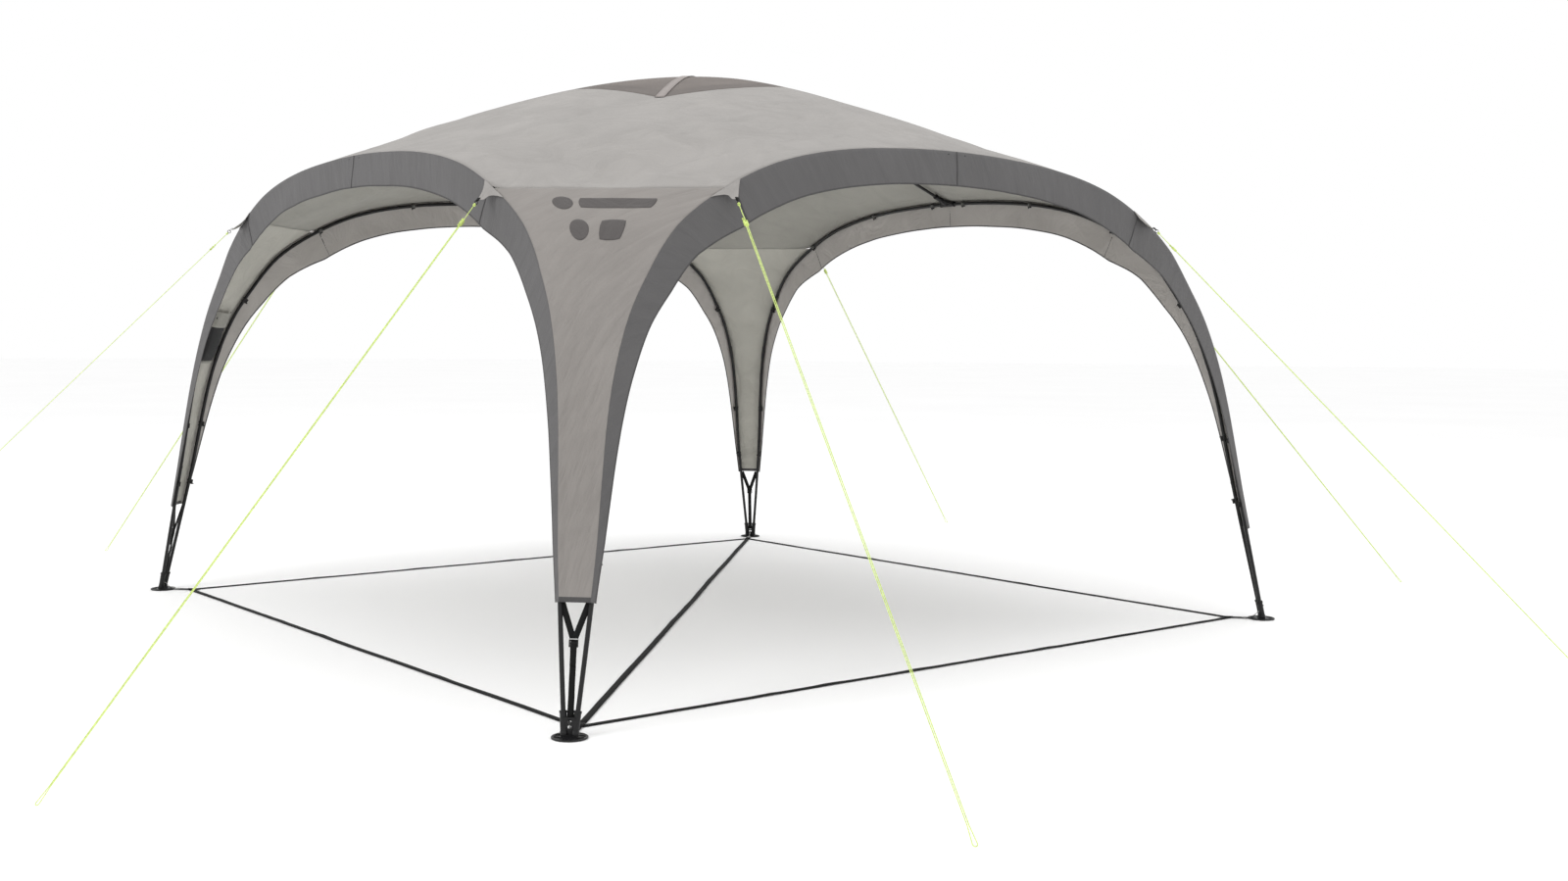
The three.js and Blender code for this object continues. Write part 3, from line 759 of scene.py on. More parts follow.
def roof_cloth_at(s, t):
    outer, inner = roof_outline(4 * s, VENT_HALF)
    x, y = inner.x + (outer.x - inner.x) * t, inner.y + (outer.y - inner.y) * t
    miss = outer.z - roof_z(outer.x, outer.y) - 0.0155
    z = roof_z(x, y) + 0.0155 + miss * t ** 3
    hold = ease(t * 6) * ease((1 - t) * 9)
    pulls = 0.6 * noise.noise(Vector((x * 1.7, y * 1.7, 4.0)))
    for along, off in ((x, y), (y, x)):  # long folds beside each arch
        near = ease((abs(off) - 0.85) / 0.6) * ease((abs(off) - abs(along) + 0.3) / 0.6)
        pulls += 0.6 * near * crinkle(along, abs(off), 3.1 if off > 0 else 5.9)
    for along, off in ((x + y, x - y), (x - y, x + y)):  # pulls out to each corner
        near = ease((abs(along) - 1.6) / 0.9) * ease(1.2 - abs(off) / 0.7)
        pulls += 0.7 * near * crinkle(abs(along), off, 9.7 if along > 0 else 12.1)
    for along, off in ((x, y), (y, x)):
        near = ease((abs(off) - 1.0) / 0.5) * ease((abs(off) - abs(along) + 0.3) / 0.5)
        pulls += 0.30 * near * pleat(along, abs(off) + along * 0.2, 33.0 if off > 0 else 35.5)
    z += sizes().crease * hold * pulls
    return Vector((x, y, z))


LEG_SEEDS = (11.0, 14.7, 18.4, 22.1)
LEG_ROWS = 140
HEM_BAND = 0.011  # share of a leg panel's height that its hem takes


def leg_share(t):
    return 1 - HEM + (HEM - SHOULDER) * t


def leg_row(t):
    """Gives the grid's lowest row the height of the hem."""
    first = 1 / LEG_ROWS
    if t < first:
        return t / first * HEM_BAND
    return HEM_BAND + (1 - HEM_BAND) * (t - first) / (1 - first)


def leg_cloth_at(s, t, seed):
    share = leg_share(t)
    middle, width, facing = corner_at(share)
    across = width * (0.5 - s)
    hold = ease(min(s, 1 - s) * 5) * ease((1 - t) * 10 + 0.1) * ease(t * 12 + 0.1)
    slant = math.radians(24)
    a, z = across, middle.z
    along = a * math.cos(slant) + z * math.sin(slant)
    upward = -a * math.sin(slant) + z * math.cos(slant)
    fold = crinkle(along, upward, seed, 6.0, 0.42)
    fan = crinkle(z, a * 1.5, seed + 4.4, 5.0, 0.5) * ease(t * 1.6 - 0.5)
    fine = pleat(along, upward, seed + 6.6) * ease(1.25 - t) - 0.4
    depth = sizes().crease * (1.2 * fold * (0.45 + 0.55 * ease(1.3 - t)) + 0.4 * fan
                              + 0.8 * fine)
    hollow = -0.016 * math.sin(math.pi * s) * ease(t * 1.4) * ease((1 - t) * 5)
    return middle + ACROSS * across + facing * (hold * depth + hollow)


VALANCE_ROWS = 12


def valance_depth(share):
    size = sizes()
    off = abs(2 * share - 1)
    shoulder, hem = 2 * SHOULDER - 1, 2 * HEM - 1
    if off < shoulder:
        return size.valance_middle + (size.valance_shoulder - size.valance_middle) * (
            off / shoulder) ** 2
    down = (off - shoulder) / (hem - shoulder)
    return size.valance_hem + (size.valance_shoulder - size.valance_hem) * (1 - down) ** 1.3


PIPING = 0.006  # width of the dark edge along a valance
VALANCE_HELD = (-1.113, -0.56, 0.0, 0.56, 1.113)  # where tabs, loops and the tee hold its edge


def valance_at(s, t, seed):
    share = 1 - HEM + (2 * HEM - 1) * s
    depth = valance_depth(share)
    edge = 1 - 1 / VALANCE_ROWS  # the grid's last row is the piping
    narrow = 1 - PIPING / (depth + FOLD_OUT)
    t = t / edge * narrow if t < edge else narrow + (1 - narrow) * (t - edge) / (1 - edge)
    point, way = ARCH.at(share), ARCH.way(share)
    away = FOLD_OUT - (depth + FOLD_OUT) * t
    free = ease(t * 1.3) * min(depth / 0.12, 1)
    fold = crinkle(share * 5.0, t * 0.16, seed, 5.0, 0.5)
    ripple = noise.noise(Vector((share * 26, t * 0.8, seed + 2)))
    for spot in VALANCE_HELD:  # lines that fan out from where the edge is held
        off, drop = point.x - spot, depth * t + 0.012
        near = math.exp(-math.hypot(off, drop) / 0.11)
        ripple += 1.1 * near * pleat(drop, math.atan2(off, drop) * 0.11, seed + spot, 0.04)
    out = FOLD_OUT + sizes().crease * free * (0.9 * fold + 0.7 * ripple + 0.25)
    away += 0.003 * free * noise.noise(Vector((share * 30, 0, seed + 5)))
    return on_side(point.x - way.z * away, point.z + way.x * away, out)


class SHELTER_OT_roof(bpy.types.Operator):
    """Lays the domed roof cloth over the poles, with the vent's mesh in its middle"""
    bl_idname = "shelter.roof"
    bl_label = "Roof and vent"

    def execute(self, context):
        bm = cloth_grid(ROOF_COLUMNS, ROOF_ROWS, 9.4, 1.1, roof_cloth_at, closed=True)
        face_towards(bm, UP)
        roof = finished("roof_panel", bm, [MATERIALS["roof"], MATERIALS["lining"]])
        thicken(roof, sizes().cloth_thickness, inner=1)
        fit(roof, "canopy_roof")

        def vent_at(s, t):
            x, y = VENT_HALF * (2 * s - 1), VENT_HALF * (2 * t - 1)
            return Vector((x, y, roof_z(x, y) + 0.0150))
        size = 2 * VENT_HALF
        hem = 0.085  # share of the vent's width that each hem takes
        bm = cloth_grid(60, 60, size, size, vent_at,
                        band=lambda s, t: 1 if min(s, t, 1 - s, 1 - t) < hem else 0)
        for flip in (1, -1):  # tapes from corner to corner
            line = [vent_at(i / 40, i / 40 if flip > 0 else 1 - i / 40) + UP * 0.0012 * (2 + flip)
                    for i in range(41)]
            side = Vector((1, -flip, 0)).normalized()
            for face in {f for v in strip(bm, line, [side] * 41, 0.038) for f in v.link_faces}:
                face.material_index = 2
        face_towards(bm, UP)
        vent = finished("vent_panel", bm,
                        [MATERIALS[name] for name in ("vent", "vent_hem", "vent_tape")])
        thicken(vent, 0.0006)
        fit(vent, "roof_vent_mesh")
        return {"FINISHED"}


class SHELTER_OT_legs(bpy.types.Operator):
    """Makes the four tapering leg panels"""
    bl_idname = "shelter.legs"
    bl_label = "Leg panels"

    def execute(self, context):
        for k, corner in enumerate(CORNERS):
            bm = cloth_grid(60, LEG_ROWS, 0.82, 1.52,
                            lambda s, t: leg_cloth_at(s, leg_row(t), LEG_SEEDS[k]),
                            band=lambda s, t: 2 if t < 1 / LEG_ROWS else 0)
            face_towards(bm, Vector((-1, -1, 0.2)))
            spin_side(bm, k)
            leg = finished(f"leg_panel_{corner}", bm,
                           [MATERIALS[name]
                            for name in ("leg", "leg_lining", "binding", "binding")])
            thicken(leg, sizes().cloth_thickness, inner=1)
            fit(leg, f"canopy_leg_{corner}")
        return {"FINISHED"}


class SHELTER_OT_valances(bpy.types.Operator):
    """Hangs a dark valance in each doorway arch"""
    bl_idname = "shelter.valances"
    bl_label = "Valances"

    def execute(self, context):
        for k, side in enumerate(SIDES):
            seed = 21.0 + 5.1 * k
            bm = cloth_grid(420, VALANCE_ROWS, 5.0, 0.15, lambda s, t: valance_at(s, t, seed),
                            band=lambda s, t: 2 if t > 1 - 1 / VALANCE_ROWS else 0)
            face_towards(bm, Vector((0, -1, 0)))
            for u in (-1.075, 0, 1.075):  # the seams between the band's lengths
                s = (share_at_u(u) - 1 + HEM) / (2 * HEM - 1)
                for out in (0.0006, -sizes().cloth_thickness):
                    line = [valance_at(s, i / 10, seed) + Vector((0, -out, 0)) for i in range(11)]
                    way = (valance_at(s + 0.001, 0, seed) - valance_at(s, 0, seed)).normalized()
                    made = strip(bm, line, [way] * 11, 0.0045, 1)
                    for face in {f for v in made for f in v.link_faces}:
                        face.material_index = 2
            spin_side(bm, k)
            band = finished(f"valance_band_{side}", bm,
                            [MATERIALS[name] for name in
                             ("valance", "valance_lining", "binding", "binding")])
            thicken(band, sizes().cloth_thickness, inner=1)
            fit(band, f"valance_{side}")
        return {"FINISHED"}


# ---- poles ---------------------------------------------------------------------------------
class SHELTER_OT_poles(bpy.types.Operator):
    """Makes the arch poles, leg tubes and roof poles as smooth round bars"""
    bl_idname = "shelter.poles"
    bl_label = "Poles"

    def execute(self, context):
        for k, side in enumerate(SIDES):
            for name, low, high, steps in (
                (f"arch_pole_{side}", 1 - LEG_TOP + 0.0001, LEG_TOP - 0.0001, 96),
                (f"leg_tube_{side}_a", 0.0, 1 - LEG_TOP - 0.0001, 32),
                (f"leg_tube_{side}_b", LEG_TOP + 0.0001, 1.0, 32),
            ):
                line = [turned(arch_at(low + (high - low) * i / steps), k)
                        for i in range(steps + 1)]
                self.bar(name, line)
        reach = ROOF_BASE - TEE_REACH
        for name, drop, quarter in (("roof_pole_upper", 0.0, 0),
                                    ("roof_pole_lower", CROSS_DROP, 1)):
            line = []
            for i in range(81):
                y = -reach + 2 * reach * i / 80
                z = MID_Z + (ROOF_RISE - drop) * (1 - (abs(y) / ROOF_BASE) ** ROOF_POWER)
                line.append(turned(Vector((0, y, z)), quarter))
            self.bar(name, line)
        return {"FINISHED"}

    def bar(self, name, line):
        pole = rod_along(name + "_bar", line, POLE_R, MATERIALS["pole"], 5)
        fit(pole, name)


# ---- guy tabs --------------------------------------------------------------------------------
def share_at_u(u):
    """Share of the arch's length at a place along the side, above the shoulders."""
    low, high = 1 - LEG_TOP, LEG_TOP
    for _ in range(40):
        middle = (low + high) / 2
        low, high = (middle, high) if ARCH.at(middle).x < u else (low, middle)
    return low


def guy_ends(sign):
    tab = Vector((sign * GUY_TAB[0], -GUY_TAB[1], GUY_TAB[2]))
    peg = Vector((sign * GUY_PEG[0], -GUY_PEG[1], GUY_PEG[2]))
    return tab, peg


def guy_axes(sign):
    """Unit vectors down a guyline, across it, and square to both."""
    tab, peg = guy_ends(sign)
    down = (peg - tab).normalized()
    across = UP.cross(down).normalized()
    return down, across, down.cross(across)


def guys():
    """Every guyline: its name, its side's quarter turn and which end of the side it holds."""
    for k, side in enumerate(SIDES):
        for end, sign in (("a", -1), ("b", 1)):
            yield f"{side}_{end}", k, sign


def knot(bm, at, way, size):
    """Adds a tied knot: a few crossing turns of cord."""
    side = way.orthogonal().normalized()
    for lean, shift in ((0.35, -0.55), (-0.45, 0.1), (0.15, 0.75)):
        ring(bm, at + way * shift * size, (way + side * lean).normalized(), size * 0.75,
             size * 0.45, 14, 7)


class SHELTER_OT_guy_tabs(bpy.types.Operator):
    """Sews a three-cornered tab over each shoulder, with a webbing loop, a ring and a knot"""
    bl_idname = "shelter.guy_tabs"
    bl_label = "Guy tabs"

    def execute(self, context):
        for name, k, sign in guys():
            tab, _ = guy_ends(sign)
            down, across, square = guy_axes(sign)

            def tab_at(s, t):
                hollow = math.sin(math.pi * t)
                base = fold_at(share_at_u(sign * (1.045 + 0.125 * s * (1 - 0.45 * hollow))))
                base += Vector((0, -0.0015, 0.0015))
                point = tab - down * 0.012 + Vector((sign * 0.011 * (s - 0.5), 0, 0))
                slack = hollow * (0.005 + 0.006 * pleat(t * 0.1, s * 0.1, 50.0, 0.03))
                return base.lerp(point, t) + Vector((0, slack * 0.35, -slack))
            bm = cloth_grid(18, 20, 0.125, 0.085, tab_at)
            face_towards(bm, Vector((0, -1, 0.6)))
            spin_side(bm, k)
            flap = finished(f"guy_tab_{name}", bm, [MATERIALS["roof"], MATERIALS["lining"]])
            thicken(flap, sizes().cloth_thickness * 1.2, inner=1)
            fit(flap)

            bm = bmesh.new()
            route = [tab - down * 0.020, tab - down * 0.012, tab - down * 0.004,
                     tab + down * 0.001 + square * 0.0015, tab - down * 0.004 + square * 0.003,
                     tab - down * 0.016 + square * 0.003]
            strip(bm, route, [across] * len(route), 0.010)
            spin_side(bm, k)
            loop = finished(f"guy_loop_{name}", bm, [MATERIALS["web"]])
            thicken(loop, 0.0012, 0)
            fit(loop)

            bm = bmesh.new()
            ring(bm, tab + down * 0.004, across, 0.0065, 0.0013, 28, 10)
            spin_side(bm, k)
            eye = finished(f"guy_ring_{name}", bm, [MATERIALS["plastic"]])
            fit(eye)

            bm = bmesh.new()
            knot(bm, tab + down * 0.016, down, 0.0042)
            spin_side(bm, k)
            tied = finished(f"guy_knot_{name}", bm, [MATERIALS["cord"]])
            fit(tied)
        return {"FINISHED"}


# ---- guylines ------------------------------------------------------------------------------
class SHELTER_OT_guylines(bpy.types.Operator):
    """Strings the eight guylines, each with a runner and a loop at the ground"""
    bl_idname = "shelter.guylines"
    bl_label = "Guylines"

    def execute(self, context):
        for name, k, sign in guys():
            self.runner(name, k, sign)
            self.string(name, k, sign)
        return {"FINISHED"}

    def string(self, name, k, sign):
        tab, peg = guy_ends(sign)
        down, across, _ = guy_axes(sign)
        length = (peg - tab).length
        half = 0.0027  # between the two strands, from the middle
        eye = 0.0072  # radius of the loop at the ground
        eye_at = length - eye - 0.0015
        route = [(0.012, 0.0), (SLIDER_DROP - 0.05, 0.0), (SLIDER_DROP - 0.014, half * 0.8)]
        route += [(SLIDER_DROP + (eye_at - 0.05 - SLIDER_DROP) * i / 8, half)
                  for i in range(9)]
        route += [(eye_at + eye * math.sin(a), eye * math.cos(a))
                  for a in [math.radians(-15 + 21 * i) for i in range(11)]]
        route += [(eye_at - 0.05 - (eye_at - 0.05 - SLIDER_DROP) * i / 8, -half)
                  for i in range(9)]
        route += [(SLIDER_DROP - 0.014, -half), (SLIDER_DROP - 0.022, -half * 1.8)]
        points = [turned(tab + down * d + across * w, k) for d, w in route]
        cord = rod_along(f"guyline_{name}_cord", points, sizes().cord / 2, MATERIALS["cord"], 3)
        fit(cord, f"guyline_{name}")

    def runner(self, name, k, sign):
        tab, _ = guy_ends(sign)
        down, across, square = guy_axes(sign)
        middle = tab + down * SLIDER_DROP
        turn = Matrix((across, square, down)).transposed()
        bm = bmesh.new()
        block(bm, middle, (0.015, 0.0065, 0.024), turn)
        piece = finished(f"runner_{name}", bm, [MATERIALS["runner"]])
        for d in (-0.0075, 0.0075):
            bm = bmesh.new()
            hole = middle + down * d
            drum(bm, hole - square * 0.01, hole + square * 0.01, 0.0021, segments=20)
            carve(piece, bm)
        bm = bmesh.new()
        bm.from_mesh(piece.data)
        for d in (-0.0075, 0.0075):
            for side in (-1, 1):
                ring(bm, middle + down * d + square * 0.0033 * side, square, 0.0030, 0.0008, 20, 6)
        knot(bm, middle - down * 0.020 - across * 0.005, down, 0.0032)
        spin_side(bm, k)
        bm.to_mesh(piece.data)
        bm.free()
        rounded(piece, 0.0008)
        fit(piece, f"guy_slider_{name}", body=f"slider_{name}")


# ---- feet and leg straps -------------------------------------------------------------------
LEG_END = ARCH.at(0.0)
FOOT_AT = (on_side(LEG_END.x, 0) + mirrored(on_side(LEG_END.x, 0))) / 2
INWARD = Vector((1, 1, 0)).normalized()
FOOT_R = 0.058
PEG_HOLE_OUT = 0.040


def foot_spot(inward, across, z):
    return FOOT_AT + INWARD * inward + ACROSS * across + UP * z


def corner_middle(z):
    """Point half-way between the front corner's two poles at a height."""
    point = arch_at(1 - share_at_height(z))
    return (point + mirrored(point)) / 2


STRAP_FOOT, STRAP_HEAD = corner_middle(0.062), corner_middle(HEM_Z - 0.008)
STRAP_UP = (STRAP_HEAD - STRAP_FOOT).normalized()
STRAP_OUT = ACROSS.cross(STRAP_UP)
STRAP_LENGTH = (STRAP_HEAD - STRAP_FOOT).length
BUCKLE_Y = (BUCKLE_Z - 0.062) / (HEM_Z - 0.008 - 0.062) * STRAP_LENGTH


def strap_spot(across, up, out=0.0):
    return STRAP_FOOT + ACROSS * across + STRAP_UP * up + STRAP_OUT * out


class SHELTER_OT_feet(bpy.types.Operator):
    """Moulds the four feet: a round plate, two pole sockets and a slotted web between them"""
    bl_idname = "shelter.feet"
    bl_label = "Feet"

    def execute(self, context):
        for k, corner in enumerate(CORNERS):
            bm = bmesh.new()
            profile = [(0, 0.0036), (0.030, 0.0036), (0.034, 0.0028), (0.050, 0.0028),
                       (0.053, 0.0042), (0.0565, 0.0042), (0.058, 0.0030), (0.058, 0), (0, 0)]
            line = [bm.verts.new(foot_spot(0, r, z)) for r, z in profile]
            edges = [bm.edges.new(pair) for pair in zip(line, line[1:])]
            bmesh.ops.spin(bm, geom=line + edges, cent=FOOT_AT, axis=UP, angle=2 * math.pi,
                           steps=72, use_merge=True)
            bmesh.ops.remove_doubles(bm, verts=bm.verts[:], dist=1e-6)
            for rib in range(8):  # short ribs out from the sockets
                turn = rib * math.pi / 4 + math.pi / 8
                block(bm, foot_spot(0.040 * math.cos(turn), 0.040 * math.sin(turn), 0.0036),
                      (0.024, 0.0022, 0.0030), Matrix.Rotation(turn + math.pi / 4, 3, "Z"))
            web = Matrix.Rotation(math.pi / 4, 3, "Z")
            block(bm, foot_spot(0, 0, 0.033), (0.008, 0.040, 0.060), web)
            block(bm, foot_spot(0, 0, 0.061), (0.012, 0.034, 0.005), web)
            block(bm, foot_spot(0, 0, 0.0065), (0.026, 0.052, 0.007), web)
            for flip in (False, True):
                start, end = self.socket(-0.022, flip), self.socket(0.052, flip)
                way = (end - start).normalized()
                drum(bm, start, end, 0.0116, 0.0112, 32)
                drum(bm, end - way * 0.007, end + way * 0.001, 0.0128, 0.0124, 32)
                drum(bm, start + way * 0.004, start + way * 0.012, 0.0136, 0.0122, 32)
            bmesh.ops.recalc_face_normals(bm, faces=bm.faces[:])
            foot = finished(f"foot_{corner}_moulding", bm, [MATERIALS["plastic"]], hard=True)
            cuts = bmesh.new()
            drum(cuts, foot_spot(-PEG_HOLE_OUT, 0, -0.01), foot_spot(-PEG_HOLE_OUT, 0, 0.02),
                 0.004, segments=28)
            block(cuts, foot_spot(0, 0, 0.050), (0.030, 0.013, 0.012), web)
            block(cuts, foot_spot(0, 0, 0.032), (0.030, 0.013, 0.009), web)
            for side in (-1, 1):
                drum(cuts, foot_spot(0.018, side * 0.043, -0.01),
                     foot_spot(0.018, side * 0.043, 0.02), 0.003, segments=20)
            carve(foot, cuts)
            turn_piece(foot, k)
            rounded(foot, 0.0006)
            fit(foot, f"foot_{corner}")

            bm = bmesh.new()
            hook = [foot_spot(0.004, 0, 0.034), foot_spot(0.014, 0, 0.030),
                    foot_spot(0.030, 0, 0.014), foot_spot(0.050, 0, 0.0065),
                    foot_spot(0.064, 0, 0.0045)]
            for a, b in zip(hook, hook[1:]):
                drum(bm, a, b, 0.0018, segments=12)
            for spot in hook:
                bmesh.ops.create_uvsphere(bm, u_segments=12, v_segments=8, radius=0.0019,
                                          matrix=Matrix.Translation(spot))
            ring(bm, foot_spot(0.0, 0, 0.034), ACROSS, 0.006, 0.0018, 24, 8)
            ring(bm, foot_spot(0.073, 0, 0.0035), UP, 0.0105, 0.0016, 28, 8)
            spin_side(bm, k)
            steel = finished(f"foot_hook_{corner}", bm, [MATERIALS["steel"]])
            fit(steel)
        return {"FINISHED"}

    def socket(self, up, flip):
        bottom = arch_at(0.0)
        way = (arch_at(0.03) - bottom).normalized()
        point = bottom + way * up
        return mirrored(point) if flip else point


class SHELTER_OT_leg_straps(bpy.types.Operator):
    """Makes each leg's forked tension strap and its ladder-lock buckle"""
    bl_idname = "shelter.leg_straps"
    bl_label = "Leg straps"

    def execute(self, context):
        for k, corner in enumerate(CORNERS):
            bm = bmesh.new()
            lower = [(-0.012, -0.010), (-0.010, -0.003), (-0.003, 0.001), (0.010, 0.0015)]
            lower += [(0.010 + (BUCKLE_Y - 0.010) * i / 14, 0.0008 * math.sin(i * 1.3))
                      for i in range(1, 15)]
            route = [strap_spot(0, y, out) for y, out in lower]
            strip(bm, route, [ACROSS] * len(route), WEB)
            route = [strap_spot(0, y, out) for y, out in
                     ((-0.011, -0.012), (0.004, -0.0035), (0.03, -0.0022), (0.075, -0.0022))]
            strip(bm, route, [ACROSS] * len(route), WEB)
            tail = [(BUCKLE_Y + 0.004, 0.0035), (BUCKLE_Y - 0.008, 0.0070),
                    (BUCKLE_Y - 0.018, 0.0066), (BUCKLE_Y - 0.035, 0.0040),
                    (BUCKLE_Y - 0.055, 0.0032), (BUCKLE_Y - 0.070, 0.0040)]
            route = [strap_spot(0, y, out) for y, out in tail]
            strip(bm, route, [ACROSS] * len(route), WEB * 0.96)
            for side in (-1, 1):
                rise = STRAP_LENGTH - BUCKLE_Y + 0.012
                route, sides = [], []
                for i in range(19):
                    t = i / 18
                    off = 0.043 * max(t - 0.06, 0) / 0.94
                    route.append(strap_spot(side * off, BUCKLE_Y - 0.004 + rise * t,
                                            0.0012 * side * (1 - t) + 0.001))
                for i in range(19):
                    way = route[min(i + 1, 18)] - route[max(i - 1, 0)]
                    sides.append(way.cross(STRAP_OUT).normalized())
                strip(bm, route, sides, WEB)
            bmesh.ops.recalc_face_normals(bm, faces=bm.faces[:])
            spin_side(bm, k)
            webs = finished(f"leg_strap_{corner}", bm, [MATERIALS["web"]])
            thicken(webs, 0.0015, 0)
            fit(webs, f"tension_strap_{corner}")

            turn = Matrix((ACROSS, STRAP_UP, STRAP_OUT)).transposed()
            bm = bmesh.new()
            for side in (-1, 1):
                block(bm, strap_spot(side * 0.0130, BUCKLE_Y, 0.0038), (0.004, 0.028, 0.0046),
                      turn)
            for y, deep in ((-0.012, 0.0046), (-0.001, 0.0040)):
                block(bm, strap_spot(0, BUCKLE_Y + y, 0.0036), (0.024, 0.0035, deep), turn)
            block(bm, strap_spot(0, BUCKLE_Y - 0.0145, 0.0052), (0.016, 0.003, 0.003), turn)
            spin_side(bm, k)
            buckle = finished(f"ladder_lock_{corner}", bm, [MATERIALS["plastic"]], hard=True)
            rounded(buckle, 0.0007)
            fit(buckle, f"strap_buckle_{corner}", body=f"buckle_{corner}")

            bm = bmesh.new()
            drum(bm, strap_spot(-0.0150, BUCKLE_Y + 0.0115, 0.0046),
                 strap_spot(0.0150, BUCKLE_Y + 0.0115, 0.0046), 0.0019, segments=16)
            spin_side(bm, k)
            bar = finished(f"ladder_lock_bar_{corner}", bm, [MATERIALS["steel"]], hard=True)
            fit(bar, body=f"buckle_{corner}")
        return {"FINISHED"}


class SHELTER_OT_ground_straps(bpy.types.Operator):
    """Lays the webbing square on the ground, its tails to the feet and the long diagonal"""
    bl_idname = "shelter.ground_straps"
    bl_label = "Ground straps"

    def execute(self, context):
        corner, flat = GROUND_CORNER, 0.0011
        bm = bmesh.new()
        for k in range(4):
            made = self.run(bm, Vector((-corner, -corner, flat)), Vector((corner, -corner, flat)),
                            3.0 + k)
            tail = self.run(bm, Vector((-1, -1, 0)) * (corner - 0.014) + UP * (flat + 0.0016),
                            Vector((-1, -1, 0)) * ((FOOT_HALF * math.sqrt(2) - FOOT_R - 0.022)
                                                   / math.sqrt(2)) + UP * 0.0028, 0.0)
            patch = self.run(bm, Vector((-1, -1, 0)) * (corner + 0.012) + UP * (flat + 0.0033),
                             Vector((-1, -1, 0)) * (corner - 0.030) + UP * (flat + 0.0033), 0.0)
            bmesh.ops.rotate(bm, cent=(0, 0, 0), verts=made + tail + patch,
                             matrix=Matrix.Rotation(k * math.pi / 2, 3, "Z"))
        ring_web = finished("ground_webbing", bm, [MATERIALS["web"]])
        thicken(ring_web, 0.0015, 0)
        fit(ring_web, "ground_strap_ring")
        bm = bmesh.new()
        end = corner - GROUND_WEB * 1.3
        self.run(bm, Vector((-end, -end, flat)), Vector((end, end, flat)), 9.0)
        long_web = finished("diagonal_webbing", bm, [MATERIALS["web"]])
        thicken(long_web, 0.0015, 0)
        fit(long_web, "ground_strap_diagonal")
        return {"FINISHED"}

    def run(self, bm, start, end, seed):
        """A flat stretch of webbing that lies a little unevenly, unless its seed is 0."""
        way = (end - start).normalized()
        side = way.cross(UP).normalized()
        steps = max(2, int((end - start).length / 0.05))
        points, sides = [], []
        for i in range(steps + 1):
            t = i / steps
            loose = math.sin(math.pi * t) if seed else 0.0
            sway = noise.noise(Vector((t * 5, seed, 0))) * 0.008 * loose
            lift = max(noise.noise(Vector((t * 24, seed, 4))), 0) * 0.0035 * min(loose * 3, 1)
            points.append(start.lerp(end, t) + side * sway + UP * lift)
            sides.append((side + UP * 0.10 * min(loose * 3, 1)
                          * noise.noise(Vector((t * 15, seed, 8)))).normalized())
        return strip(bm, points, sides, GROUND_WEB)


# ---- fittings on the poles -------------------------------------------------------------------
LOOPS_AT = (0.110, 0.560, 1.070)  # webbing loops, along the side from the arch's middle
HOOKS_AT = (1.400, 0.800, 0.520)  # hooks down a leg, by height


